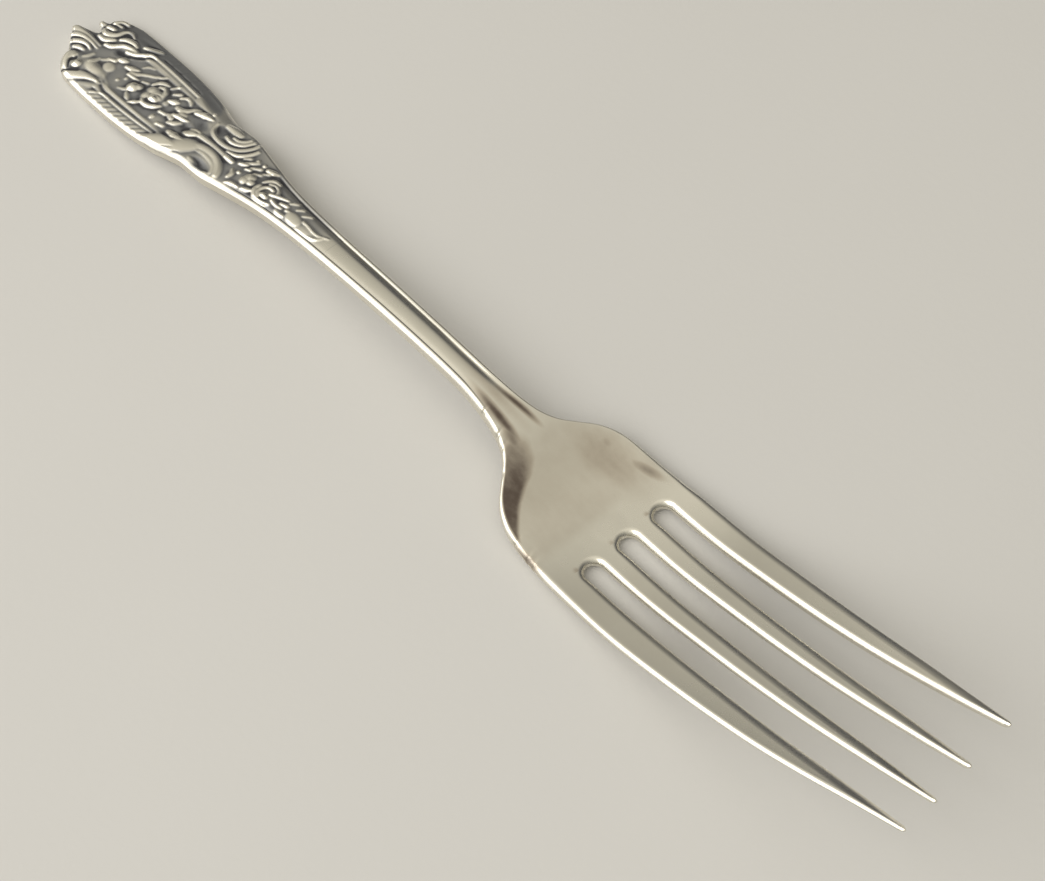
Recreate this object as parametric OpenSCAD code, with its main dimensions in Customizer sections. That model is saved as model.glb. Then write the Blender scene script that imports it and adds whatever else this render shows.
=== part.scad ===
// Dinner fork, one struck and forged blank of solid silver, drawn zone by zone.
// X runs from the crest of the handle to the tips of the tines, Z is up, and the
// fork lies on its bowl and on the back of its handle with the tines turned up.

/* [Lengths along the fork] */
// Scrolled crest at the end of the handle
crest_l = 14; // [11:0.5:17]
// Framed flower panel
panel_l = 20; // [16:0.5:26]
// Scrolled shoulder below the panel
shoulder_l = 13; // [10:0.5:16]
// Flowers and leaves that run out into the stem
drop_l = 24; // [18:0.5:30]
// Plain stem between its two threads
stem_l = 32; // [24:0.5:40]
// Neck, where the threads fade out
neck_l = 10; // [7:0.5:14]
// Root, from the neck to the ends of the slots
root_l = 21.5; // [18:0.5:26]
// Tines, from the ends of the slots to the tips
tine_l = 55.5; // [46:0.5:64]

/* [Widths] */
// Across the corners of the crest
end_w = 15.8; // [14:0.1:17]
// Across the panel, the widest part of the handle
handle_w = 17; // [15:0.1:19]
// Across the waist at the shoulder
waist_w = 11.8; // [11.4:0.1:13.5]
// Across the drop, where the shoulder ends
drop_w = 10.6; // [9.2:0.1:11.4]
// Across the stem, where the leaves end
stem_w = 5.7; // [5.2:0.1:6.6]
// Across the narrowest place of the stem
neck_w = 5.1; // [4.6:0.1:5.5]
// Across the end of the neck, where the root starts to flare
throat_w = 7.8; // [6.8:0.1:8.5]
// Across the head, over the outer tines
head_w = 25.6; // [23:0.1:28]
// Across the outer tips
tip_span = 20.2; // [18:0.1:21.5]

/* [Heights and thickness] */
// Height of the lower face under the arch of the stem
arch_h = 5.3; // [4:0.1:7]
// Height of the inner tips, lower face
tip_h = 15.2; // [12:0.1:19]
// Height by which the outer tips stand above the inner ones
dish_h = 3; // [1:0.1:3.6]
// Thickness of the handle
handle_t = 2.2; // [1.8:0.1:2.8]
// Thickness of the stem, its thickest place
stem_t = 2.9; // [2.5:0.1:3.5]
// Thickness of the bowl at the ends of the slots
bowl_t = 1.9; // [1.6:0.1:2.3]
// Thickness of the tines near their tips
tip_t = 1.1; // [0.9:0.1:1.4]
// Depth worn flat under the bowl, where the fork rests
wear_d = 0.04; // [0.02:0.01:0.08]

/* [Tines and slots] */
// Width of a slot at its round end
slot_w = 3.1; // [2.7:0.1:3.5]
// Width of an inner tine beside the slots' ends
tine_w = 3.7; // [3.3:0.1:4]
// Width of an inner tine at its blunt tip
tip_w = 0.8; // [0.6:0.05:1.1]
// Distance by which the hand-cut slots sit off the middle line, towards +Y
slot_shift = 0.3; // [0:0.05:0.4]
// Rounding of the tines' upper edges
tine_round = 0.8; // [0.5:0.05:0.9]

/* [Ornament] */
// Height of the scrolls and flowers above their ground
relief_h = 0.6; // [0.3:0.05:0.8]
// Depth of the flower panel's ground
ground_d = 0.35; // [0.1:0.05:0.5]
// Width of the border thread along the stem
thread_w = 0.7; // [0.6:0.05:0.9]
// Depth of the groove inside the thread
groove_d = 0.3; // [0.15:0.05:0.4]
// Spacing of the slanted flutes along the border
flute_pitch = 1.8; // [1.4:0.1:2.4]
// Width of the fluted border outside the panel's frame
border_w = 2.7; // [2.2:0.1:3]

/* [Hidden] */
// Places along X where one zone ends and the next starts
panel_x = crest_l;
shoulder_x = panel_x + panel_l;
drop_x = shoulder_x + shoulder_l;
stem_x = drop_x + drop_l;
neck_x = stem_x + stem_l;
root_x = neck_x + neck_l;
slot_x = root_x + root_l;
tip_x = slot_x + tine_l;
// Middle of the length, which is set on the origin
middle_x = tip_x / 2;
// Half of the handle's width, the measure of the ornament across the fork
half_w = handle_w / 2;

// Outline: places as a share of the zone's length, widths as a share of the change between two widths
crest_outline_shares = [[0.38, 0], [0.58, 0.6], [1, 1]];
panel_outline_shares = [[0.3, 0.01], [0.6, 0.12], [0.9, 0.4], [1, 0.55]];
waist_outline_shares = [[0.16, 0.78], [0.4, 1], [0.7, 1]];
drop_outline_shares = [[0, 0], [0.13, 0.25], [0.25, 0.46], [0.4, 0.67], [0.63, 0.86], [1, 1]];
stem_outline_shares = [[0.28, 0.5], [0.6, 0.88], [0.85, 1]];
neck_outline_shares = [[0, 0.04], [0.3, 0.18], [0.7, 0.49]];
root_outline_shares = [
    [0, 0], [0.12, 0.16], [0.22, 0.41], [0.32, 0.67], [0.42, 0.82], [0.52, 0.9], [0.65, 0.945],
    [0.83, 0.98], [1, 1]
];
tine_outline_shares = [
    [0.12, 0], [0.32, 0.07], [0.46, 0.16], [0.61, 0.3], [0.75, 0.51], [0.89, 0.8], [1, 1]
];
// End of the crest: share of the half width, from -Y to +Y, and share of the crest's length
crest_end_shares = [
    [-1, 0.54], [-0.86, 0.41], [-0.74, 0.34], [-0.6, 0.31], [-0.5, 0.3], [-0.4, 0.2], [-0.28, 0.1],
    [-0.16, 0.03], [-0.06, 0], [0.03, 0.02], [0.1, 0.14], [0.18, 0.27], [0.26, 0.29], [0.34, 0.18],
    [0.42, 0.17], [0.5, 0.25], [0.62, 0.25], [0.76, 0.28], [0.88, 0.36], [1, 0.54]
];
// Lower face: share of the zone's length and share of the arch's or of the tips' height
arch_shares = [
    [[0, 0], [0.8, 0]],
    [[0.3, 0.1], [0.8, 0.25]],
    [[0, 0.32], [0.6, 0.47]],
    [[0, 0.57], [0.5, 0.72]],
    [[0, 0.85], [0.5, 0.98], [0.75, 1]],
    [[0, 0.98], [0.5, 0.85]],
    [[0, 0.68], [0.16, 0.49], [0.33, 0.3], [0.49, 0.14], [0.65, 0.04], [0.82, 0], [0.98, 0]]
];
rise_shares = [[0.04, 0.006], [0.15, 0.04], [0.37, 0.215], [0.61, 0.465], [0.82, 0.75], [1, 1]];
// Dish across the head: share along the root, then along the tines, and share of the dish's height
root_dish_shares = [[0, 0], [0.38, 0.06], [0.82, 0.16]];
tine_dish_shares = [[0, 0.25], [0.27, 0.38], [0.46, 0.5], [0.65, 0.66], [0.83, 0.85], [1, 1]];
// Thickness: share along a zone, and share of the change between the two thicknesses
drop_thick_shares = [[0, 0.25], [1, 0.6]];
stem_thick_shares = [[0.6, 0.95], [1, 1]];
root_thick_shares = [[0, 0.1], [0.33, 0.55], [0.76, 0.92], [1, 1]];
tine_thick_shares = [[0.25, 0.35], [0.6, 0.6], [0.85, 0.85], [1, 1]];
// Opening of the slots towards the tips
slot_open_shares = [[0, 0], [0.28, 0.14], [0.46, 0.22], [0.64, 0.36], [0.82, 0.6], [0.93, 0.82], [1, 1]];
// Stations of the tines: over the round end of a slot, and from there to the tips
slot_end_shares = [0, 0.03, 0.12, 0.28, 0.5, 0.74, 1];
tine_run_shares = [
    0.07, 0.15, 0.23, 0.31, 0.4, 0.49, 0.58, 0.67, 0.75, 0.83, 0.9, 0.95, 0.98, 0.993, 1
];
// The last stretch, where a tip is rounded, as shares of the tip's width: distance and size left
tip_round_shares = [[1, 1], [0.4, 0.85], [0.12, 0.6], [0, 0.35]];

// Segments round a rounded corner
corner_steps = 2;
tine_corner_steps = 3;
// Rounding of the upper and lower corners of the handle, as shares of its thickness
upper_round_share = 0.3;
lower_round_share = 0.3;
// Rounding of the tines' lower edges, as a share of the upper ones
under_round_share = 0.6;
// Most that a tine's upper corners may take of its width and of its thickness
tine_corner_share = 0.42;
tine_depth_share = 0.5;
// Rounding left where a tine leaves the root
root_round_share = 0.12;
// Spacing of the stations on the ornament and on the plain zones
ornament_step = crest_l / 24;
plain_step = stem_l / 12;
// Points across the ornament, the drop, the plain zones and a tine, and across their lower faces
ornament_cols = 26;
drop_cols = 15;
plain_cols = 12;
tine_cols = 2;
crest_under_cols = 6;
bar_under_cols = 2;

// Between a and b by the share t
function mix(a, b, t) = a + (b - a) * t;
// From 0 to 1 with soft ends
function soft(t) = let (c = min(1, max(0, t))) c * c * (3 - 2 * c);
// Points of one zone's outline, from the shares and the widths at its ends
function run(x, l, a, b, shares) = [for (s = shares) [x + l * s[0], mix(a, b, s[1])]];
// Slope of a table at one of its points, zero where it turns
function rate(t, i) = (t[i + 1][1] - t[i][1]) / (t[i + 1][0] - t[i][0]);
function slope(t, i) =
    i == 0 ? rate(t, 0)
    : i == len(t) - 1 ? rate(t, i - 1)
    : rate(t, i - 1) * rate(t, i) <= 0 ? 0
    : 2 * rate(t, i - 1) * rate(t, i) / (rate(t, i - 1) + rate(t, i));
function span_at(t, x, i) = i + 2 >= len(t) || x < t[i + 1][0] ? i : span_at(t, x, i + 1);
// Value of the smooth curve through a table's points
function curve(t, x) =
    let (
        i = span_at(t, x, 0),
        w = t[i + 1][0] - t[i][0],
        s = min(1, max(0, (x - t[i][0]) / w)),
        a = t[i][1],
        b = t[i + 1][1]
    )
    a + s * s * (3 - 2 * s) * (b - a)
    + w * s * (1 - s) * ((1 - s) * slope(t, i) - s * slope(t, i + 1));

outline = concat(
    run(0, crest_l, end_w / 2, half_w, crest_outline_shares),
    run(panel_x, panel_l, half_w, waist_w / 2, panel_outline_shares),
    run(shoulder_x, shoulder_l, half_w, waist_w / 2, waist_outline_shares),
    run(drop_x, drop_l, drop_w / 2, stem_w / 2, drop_outline_shares),
    run(stem_x, stem_l, stem_w / 2, neck_w / 2, stem_outline_shares),
    run(neck_x, neck_l, neck_w / 2, throat_w / 2, neck_outline_shares),
    run(root_x, root_l, throat_w / 2, head_w / 2, root_outline_shares),
    run(slot_x, tine_l, head_w / 2, tip_span / 2, tine_outline_shares)
);
zones = [
    [0, crest_l], [panel_x, panel_l], [shoulder_x, shoulder_l], [drop_x, drop_l],
    [stem_x, stem_l], [neck_x, neck_l], [root_x, root_l]
];
lower_line = concat(
    [for (i = [0:len(zones) - 1], s = arch_shares[i]) [zones[i][0] + zones[i][1] * s[0], arch_h * s[1]]],
    run(slot_x, tine_l, 0, tip_h, rise_shares)
);
dish_line = concat(
    run(root_x, root_l, 0, dish_h, root_dish_shares),
    run(slot_x, tine_l, 0, dish_h, tine_dish_shares)
);
thick_line = concat(
    [[0, handle_t], [shoulder_x, handle_t]],
    run(drop_x, drop_l, handle_t, stem_t, drop_thick_shares),
    run(stem_x, stem_l, handle_t, stem_t, stem_thick_shares),
    run(root_x, root_l, stem_t, bowl_t, root_thick_shares),
    run(slot_x, tine_l, bowl_t, tip_t, tine_thick_shares)
);
function half(x) = curve(outline, x);
function thick(x) = curve(thick_line, x);
// Height of the lower face, dished across the head and worn flat where the fork rests
function low(x, y) =
    x <= root_x ? curve(lower_line, x)
    : max(0, curve(lower_line, x) + curve(dish_line, x) * pow(y / half(x), 2) - wear_d);

// Strokes of the crest: height, thickness at the start and at the end, then points, all as shares
crest_strokes_shares = [
    [1, 0.085, 0.06, [[0.05, -0.07], [0.25, -0.01], [0.6, -0.04]]],
    [1, 0.085, 0.06, [[0.12, -0.2], [0.28, -0.12], [0.6, -0.15]]],
    [1, 0.085, 0.06, [[0.22, -0.31], [0.36, -0.23], [0.56, -0.25]]],
    [0.8, 0.06, 0.05, [[0.3, -0.38], [0.4, -0.31], [0.54, -0.37]]],
    [
        1, 0.08, 0.06,
        [[0.33, -0.62], [0.31, -0.52], [0.4, -0.45], [0.5, -0.52], [0.47, -0.6], [0.42, -0.57]]
    ],
    [0.9, 0.1, 0.07, [[0.52, -0.63], [0.57, -0.57]]],
    [0.7, 0.08, 0.06, [[0.36, -0.72], [0.44, -0.85], [0.57, -0.93]]],
    [1, 0.1, 0.06, [[0.62, -0.9], [0.72, -0.7], [0.98, -0.62]]],
    [0.9, 0.09, 0.05, [[0.76, -0.92], [0.86, -0.78], [1, -0.74]]],
    [0.8, 0.08, 0.05, [[0.56, -0.44], [0.74, -0.4], [0.92, -0.52]]],
    [0.9, 0.07, 0.07, [[0.07, 0.43], [0.12, 0.43]]],
    [1, 0.08, 0.06, [[0.24, 0.43], [0.42, 0.32], [0.52, 0.14], [0.7, 0.1]]],
    [1, 0.07, 0.05, [[0.3, 0.28], [0.45, 0.16], [0.62, 0.04]]],
    [1, 0.08, 0.05, [[0.42, 0.56], [0.55, 0.48], [0.8, 0.48], [0.86, 0.38]]],
    [0.8, 0.06, 0.05, [[0.5, 0.36], [0.62, 0.3], [0.74, 0.36]]],
    [0.9, 0.07, 0.05, [[0.19, 0.72], [0.24, 0.86], [0.33, 0.84], [0.36, 0.76]]],
    [0.8, 0.06, 0.05, [[0.45, 0.72], [0.6, 0.7], [0.72, 0.62]]],
    [1, 0.08, 0.06, [[0.86, 0.7], [1.04, 0.86]]],
    [0.9, 0.12, 0.12, [[0.85, -0.14], [0.87, -0.14]]],
    [0.8, 0.07, 0.05, [[0.68, -0.12], [0.82, 0.06], [0.96, 0.12]]]
];
// Strokes of the flower panel
panel_strokes_shares = [
    [0.9, 0.08, 0.05, [[0.0, 0.06], [0.1, 0.16]]],
    [0.7, 0.05, 0.05, [[0.02, 0.03], [0.22, 0.06], [0.34, 0.0]]],
    [0.7, 0.06, 0.04, [[0.1, 0.24], [0.16, 0.42], [0.26, 0.48]]],
    [0.8, 0.06, 0.04, [[0.2, 0.18], [0.32, 0.42]]],
    [1, 0.14, 0.13, [[0.24, -0.2], [0.27, -0.18]]],
    [0.7, 0.06, 0.05, [[0.27, -0.44], [0.34, -0.38], [0.4, -0.26]]],
    [1, 0.15, 0.13, [[0.45, -0.09], [0.49, -0.07]]],
    [1, 0.06, 0.06, [[0.38, -0.2], [0.46, -0.27], [0.55, -0.24], [0.58, -0.12]]],
    [0.9, 0.06, 0.06, [[0.36, 0.02], [0.36, 0.14], [0.45, 0.2], [0.55, 0.12]]],
    [0.8, 0.06, 0.05, [[0.34, 0.26], [0.4, 0.36], [0.5, 0.34]]],
    [0.8, 0.06, 0.05, [[0.54, 0.28], [0.6, 0.44]]],
    [0.8, 0.07, 0.05, [[0.64, 0.3], [0.73, 0.42]]],
    [0.9, 0.09, 0.07, [[0.58, 0.14], [0.64, 0.2]]],
    [0.8, 0.08, 0.06, [[0.6, -0.14], [0.68, -0.14]]],
    [0.8, 0.07, 0.06, [[0.57, -0.36], [0.64, -0.38]]],
    [0.8, 0.07, 0.06, [[0.7, -0.34], [0.76, -0.38]]],
    [1, 0.11, 0.09, [[0.74, 0.14], [0.8, 0.2]]],
    [1, 0.11, 0.09, [[0.78, -0.06], [0.88, 0.02]]],
    [0.8, 0.09, 0.08, [[0.74, -0.16], [0.82, -0.2]]],
    [1, 0.1, 0.05, [[0.82, 0.36], [0.92, 0.44], [1.02, 0.47]]],
    [0.9, 0.12, 0.06, [[0.88, -0.35], [0.98, -0.33], [1.04, -0.3]]]
];
// Strokes of the shoulder, then its fans of rings: middle, radius, angles, thickness and height
shoulder_strokes_shares = [
    [1, 0.1, 0.07, [[0.0, -0.1], [0.03, -0.09]]],
    [1, 0.08, 0.07, [[0.02, -0.1], [0.18, 0.01], [0.5, 0.03], [0.86, 0.0]]],
    [0.9, 0.09, 0.07, [[0.28, 0.62], [0.58, 0.6]]],
    [0.9, 0.08, 0.08, [[0.8, -0.58], [0.84, -0.54]]],
    [0.8, 0.07, 0.05, [[0.9, 0.16], [1.0, 0.28]]],
    [0.9, 0.1, 0.06, [[-0.2, -0.86], [0.1, -0.8], [0.3, -0.68], [0.5, -0.64], [0.75, -0.66]]]
];
shoulder_rings_shares = [
    [0.5, -0.46, 0.46, -20, 185, 0.07, 1],
    [0.5, -0.44, 0.32, 0, 190, 0.05, 0.7],
    [0.5, -0.4, 0.14, 0, 360, 0.16, 1],
    [0.58, 0.66, 0.17, 200, 360, 0.05, 0.9],
    [0.58, 0.66, 0.28, 195, 360, 0.05, 1],
    [0.58, 0.66, 0.39, 200, 360, 0.05, 1],
    [0.58, 0.66, 0.5, 210, 360, 0.055, 1]
];
// Strokes of the drop, and its rings
drop_strokes_shares = [
    [0.8, 0.05, 0.05, [[-0.02, 0.12], [0.06, 0.24]]],
    [0.8, 0.05, 0.05, [[0.04, 0.14], [0.13, 0.28]]],
    [0.8, 0.05, 0.05, [[0.11, 0.16], [0.19, 0.3]]],
    [1, 0.06, 0.06, [[0.02, 0.4], [0.04, 0.4]]],
    [1, 0.06, 0.06, [[0.1, 0.4], [0.12, 0.4]]],
    [1, 0.06, 0.06, [[0.18, 0.39], [0.21, 0.39]]],
    [0.9, 0.08, 0.07, [[0.0, -0.05], [0.03, -0.04]]],
    [0.9, 0.07, 0.05, [[-0.02, -0.2], [0.03, -0.32]]],
    [0.9, 0.07, 0.05, [[0.04, -0.42], [0.12, -0.36], [0.2, -0.3]]],
    [1, 0.16, 0.14, [[0.12, -0.09], [0.14, -0.09]]],
    [1, 0.09, 0.07, [[0.32, -0.09], [0.37, -0.07]]],
    [0.8, 0.06, 0.06, [[0.44, -0.16], [0.5, -0.13], [0.54, -0.17]]],
    [0.7, 0.05, 0.04, [[0.42, 0.08], [0.5, 0.18]]],
    [0.7, 0.05, 0.04, [[0.5, 0.06], [0.58, 0.17]]],
    [0.7, 0.05, 0.04, [[0.58, 0.08], [0.66, 0.16]]],
    [1, 0.15, 0.12, [[0.63, -0.06], [0.68, -0.06]]],
    [0.8, 0.06, 0.04, [[0.72, 0.02], [0.86, 0.01], [0.96, 0.07]]],
    [0.8, 0.06, 0.03, [[0.74, -0.2], [0.84, -0.17], [0.95, -0.03]]]
];
drop_rings_shares = [
    [0.33, -0.07, 0.2, 60, 330, 0.05, 0.9],
    [0.33, -0.07, 0.31, 70, 310, 0.05, 0.9]
];
// Steps round a ring
ring_steps = 10;
// A stroke's points in the fork's own frame
function placed(zone, l, p) = [zone + l * p[0], half_w * p[1]];
function ring_points(zone, l, r) = [
    for (i = [0:ring_steps], a = mix(r[3], r[4], i / ring_steps))
        placed(zone, l, [r[0], r[1]]) + half_w * r[2] * [cos(a), sin(a)]
];
// All of a zone's strokes as short pieces: two ends, two thicknesses and a height
function pieces(pts, t0, t1, h) = [
    for (i = [0:len(pts) - 2], n = len(pts) - 1)
        [pts[i], pts[i + 1], half_w * mix(t0, t1, i / n), half_w * mix(t0, t1, (i + 1) / n), relief_h * h]
];
function zone_pieces(zone, l, strokes, rings) = concat(
    [for (s = strokes) each pieces([for (p = s[3]) placed(zone, l, p)], s[1], s[2], s[0])],
    [for (r = rings) each pieces(ring_points(zone, l, r), r[5], r[5], r[6])]
);
// Height of one rounded piece over a place
function piece_h(q, s) =
    let (
        e = s[1] - s[0],
        t = min(1, max(0, (q - s[0]) * e / (e * e))),
        d = norm(q - s[0] - e * t),
        w = mix(s[2], s[3], t)
    )
    d >= w ? 0 : s[4] * sqrt(1 - pow(d / w, 2));
function highest(q, list) = max([0, for (s = list) piece_h(q, s)]);

all_pieces = concat(
    zone_pieces(0, crest_l, crest_strokes_shares, []),
    zone_pieces(panel_x, panel_l, panel_strokes_shares, []),
    zone_pieces(shoulder_x, shoulder_l, shoulder_strokes_shares, shoulder_rings_shares),
    zone_pieces(drop_x, drop_l, drop_strokes_shares, drop_rings_shares)
);
// Pieces that reach into the stretch from a to b
function pieces_at(a, b) = [
    for (s = all_pieces)
        let (t = max(s[2], s[3]))
        if (max(s[0][0], s[1][0]) + t > a && min(s[0][0], s[1][0]) - t < b) s
];

// Frame of the panel: where it starts and ends along the zones, and its fillets as shares of the border
frame_start_share = 0.8;
frame_end_share = 0.8;
frame_lines_share = [1, 1.3];
fillet_share = 0.16;
ground_share = 1.5;
ground_slope_share = 0.25;
// Mitred corners of the frame, as shares of the crest's length and of the half width
mitre_place_share = [0.8, 0.32];
mitre_turn = 28;
frame_x = crest_l * frame_start_share;
frame_end_x = panel_x + panel_l * frame_end_share;
// Height of the flutes, of the fillets and of the sloping border, as shares of the relief
flute_share = 0.5;
fillet_h_share = 0.6;
border_drop_share = 0.7;
border_inner_share = 0.62;
// Slant of the flutes and the band of the border that they fill
flute_slant = 1;
flute_band_share = [0.18, 0.9];

// One rounded ridge across a distance
function ridge(d, w) = abs(d) >= w ? 0 : sqrt(1 - pow(d / w, 2));
// One, fading to nothing outside the stretch from a to b over the distance f
function within(x, a, b, f) = soft((x - a) / f) * soft((b - x) / f);
// Distance inward to the frame's own line, which is mitred at the crest
function frame_d(x, y, w) = min(
    w - abs(y),
    border_w + (x - crest_l * mitre_place_share[0]) * sin(mitre_turn)
        - (abs(y) - half_w * mitre_place_share[1]) * cos(mitre_turn)
);
function flutes(x, y, w) =
    let (d = w - abs(y), a = border_w * flute_band_share[0], b = border_w * flute_band_share[1])
    d < a || d > b ? 0
    : ridge(d - (a + b) / 2, (b - a) / 2)
        * within(x, y < 0 ? crest_l * mitre_place_share[0] : panel_x, frame_end_x, border_w / 2)
        * (0.5 + 0.5 * cos(360 * (x + flute_slant * d) / flute_pitch));
function frame_h(x, y, w) =
    let (
        d = frame_d(x, y, w),
        lines = max([for (s = frame_lines_share) ridge(d - border_w * s, border_w * fillet_share)]),
        beside = abs(y) - half_w * mitre_place_share[1],
        sides = x > panel_x ? 1 : soft(beside / (border_w * fillet_share) + 1)
    )
    lines * sides * within(x, frame_x, frame_end_x, border_w / 2);
// Height of the ornament over the plain handle; near holds the pieces close by
function ornament(x, y, w, near) =
    max(
        highest([x, y], near),
        relief_h * flute_share * flutes(x, y, w),
        relief_h * fillet_h_share * frame_h(x, y, w)
    )
    - ground_d * soft((frame_d(x, y, w) - border_w * ground_share) / (border_w * ground_slope_share))
        * within(x, frame_x, frame_end_x, border_w)
    - relief_h * border_drop_share * soft((abs(y) / w - border_inner_share) / (1 - border_inner_share))
        * soft((drop_x - x) / shoulder_l);
// Threads and grooves of the stem: places and widths as shares of the thread's width
groove_place_share = 1.2;
groove_half_share = 0.4;
thread_rise_share = 0.5;
crown_share = 0.8;
// Where the threads start on the drop and end on the neck
thread_start_share = 0.2;
thread_end_share = 0.9;
function threads(x, y, w) =
    let (
        d = w - abs(y),
        inner = max(w - thread_w * groove_place_share, thread_w),
        on = soft((x - drop_x - drop_l * thread_start_share) / (drop_l * thread_start_share))
            * soft((neck_x + neck_l * thread_end_share - x) / neck_l)
    )
    on * groove_d * (
        thread_rise_share * ridge(d - thread_w / 2, thread_w / 2)
        - ridge(d - thread_w * groove_place_share, thread_w * groove_half_share)
        + crown_share * max(0, 1 - pow(y / inner, 2))
    );
function upper(x, y, w, near) =
    low(x, y) + thick(x)
    + (x < stem_x ? ornament(x, y, w, near) : 0)
    + (x > drop_x ? threads(x, y, w) : 0);

// Places across a section from y0 to y1, with the depth lost at its rounded corners
function across(y0, y1, r0, r1, cols, steps) = concat(
    [for (i = [0:steps], a = 90 * i / steps) [y0 + r0 * (1 - cos(a)), r0 * (1 - sin(a))]],
    [for (j = [1:cols - 1]) [mix(y0 + r0, y1 - r1, j / cols), 0]],
    [for (i = [steps:-1:0], a = 90 * i / steps) [y1 - r1 * (1 - cos(a)), r1 * (1 - sin(a))]]
);
function turned(list) = [for (i = [len(list) - 1:-1:0]) list[i]];
// One section of the handle, stem or root at x
function bar_section(x, cols, under_cols) =
    let (
        w = half(x),
        ru = thick(x) * upper_round_share,
        rl = thick(x) * lower_round_share,
        near = x < stem_x ? pieces_at(x, x) : []
    )
    concat(
        [for (c = across(-w, w, ru, ru, cols, corner_steps))
            [x - middle_x, c[0], upper(x, c[0], w, near) - c[1]]],
        turned([for (c = across(-w, w, rl, rl, under_cols, corner_steps))
            [x - middle_x, c[0], low(x, c[0]) + c[1]]])
    );
// One section of the crest: u runs from its scrolled end to the panel
crest_round_share = 0.35;
// Stretch of the crest, as a share of its length, whose strokes may reach a section
crest_near_share = 0.5;
function end_depth(e, r) = e >= r ? 0 : r - sqrt(r * r - pow(r - e, 2));
function crest_section(u) =
    let (
        w = half(mix(crest_l * crest_end_shares[len(crest_end_shares) - 1][1], panel_x, u)),
        r = thick(0) * crest_round_share,
        ru = thick(0) * upper_round_share,
        rl = thick(0) * lower_round_share,
        reach = crest_l * crest_near_share,
        near = pieces_at(panel_x * u - reach, panel_x * u + reach)
    )
    concat(
        [for (c = across(-w, w, ru, ru, ornament_cols, corner_steps))
            let (e = crest_l * curve(crest_end_shares, c[0] / w), x = mix(e, panel_x, u))
            [x - middle_x, c[0], upper(x, c[0], w, near) - max(c[1], end_depth(x - e, r))]],
        turned([for (c = across(-w, w, rl, rl, crest_under_cols, corner_steps))
            let (e = crest_l * curve(crest_end_shares, c[0] / w), x = mix(e, panel_x, u))
            [x - middle_x, c[0], low(x, c[0]) + max(c[1], end_depth(x - e, r))]])
    );

// Skin over a list of sections with n points above and m below, closed at both ends
function cap(first, n, m, out) = [
    for (
        j = [0:n - 2],
        a = first + j,
        b = first + n + m - 1 - round(j * (m - 1) / (n - 1)),
        c = first + n + m - 1 - round((j + 1) * (m - 1) / (n - 1))
    ) each concat(
        out ? [[a, b, a + 1]] : [[a, a + 1, b]],
        b == c ? [] : out ? [[a + 1, b, c]] : [[a + 1, c, b]]
    )
];
module loft(sections, n) {
    count = len(sections[0]);
    last = len(sections) - 1;
    polyhedron(
        points = [for (s = sections) each s],
        faces = concat(
            cap(0, n, count - n, false),
            cap(last * count, n, count - n, true),
            [
                for (i = [0:last - 1], j = [0:count - 1], k = (j + 1) % count)
                    each [
                        [i * count + j, (i + 1) * count + j, i * count + k],
                        [i * count + k, (i + 1) * count + j, (i + 1) * count + k]
                    ]
            ]
        )
    );
}
// Stations from a to b, about one step apart
function stations(a, b, step) = let (n = round((b - a) / step)) [for (i = [0:n]) mix(a, b, i / n)];
module bar(a, b, step, cols, under_cols) {
    sections = [for (x = stations(a, b, step)) bar_section(x, cols, under_cols)];
    loft(sections, cols + 1 + 2 * corner_steps);
}

module handle_crest() {
    sections = [for (u = stations(0, 1, ornament_step / crest_l)) crest_section(u)];
    color("silver")
        loft(sections, ornament_cols + 1 + 2 * corner_steps);
}
module flower_panel() {
    color("darkgray")
        bar(panel_x, shoulder_x, ornament_step, ornament_cols, bar_under_cols);
}
module scroll_shoulder() {
    color("silver")
        bar(shoulder_x, drop_x, ornament_step, ornament_cols, bar_under_cols);
}
module leaf_drop() {
    color("darkgray")
        bar(drop_x, stem_x, ornament_step, drop_cols, bar_under_cols);
}
module stem() {
    color("silver")
        bar(stem_x, neck_x, plain_step, plain_cols, bar_under_cols);
}
module neck() {
    color("gainsboro")
        bar(neck_x, root_x, plain_step / 2, plain_cols, bar_under_cols);
}
module root() {
    color("silver")
        bar(root_x, slot_x, plain_step / 2, plain_cols, plain_cols);
}

// Pitch of the tines beside the slots' ends and at the tips
pitch = tine_w + slot_w;
tip_pitch = (tip_span - tip_w) / 3;
// Half width of a slot at the distance s from its end
function slot_half(s) =
    let (r = slot_w / 2)
    s < r ? sqrt(r * r - pow(r - s, 2))
    : mix(r, (tip_pitch - tip_w) / 2, curve(slot_open_shares, s / tine_l));
function slot_middle(k, s) =
    (k - 2) * mix(pitch, tip_pitch, s / tine_l) + slot_shift * (1 - soft(s / tine_l));
// One section of a tine, counted from 1 at -Y to 4 at +Y; size shrinks it at the tip
function tine_section(k, s, size) =
    let (
        x = slot_x + s,
        w = half(x),
        t = thick(x),
        a = k == 1 ? -w : slot_middle(k - 1, s) + slot_half(s),
        b = k == 4 ? w : slot_middle(k, s) - slot_half(s),
        r = min(tine_round, (b - a) * tine_corner_share, t * tine_depth_share),
        free = mix(root_round_share, 1, soft(s / slot_w)),
        ra = r * (k == 1 ? 1 : free) * size,
        rb = r * (k == 4 ? 1 : free) * size,
        under = under_round_share,
        m = (a + b) / 2,
        h = (b - a) / 2 * size,
        cut = t * (1 - size) / 2
    )
    concat(
        [for (c = across(m - h, m + h, ra, rb, tine_cols, tine_corner_steps))
            [x - middle_x, c[0], low(x, c[0]) + t - cut - c[1]]],
        turned([for (c = across(m - h, m + h, ra * under, rb * under, tine_cols, tine_corner_steps))
            [x - middle_x, c[0], low(x, c[0]) + cut + c[1]]])
    );
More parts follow.
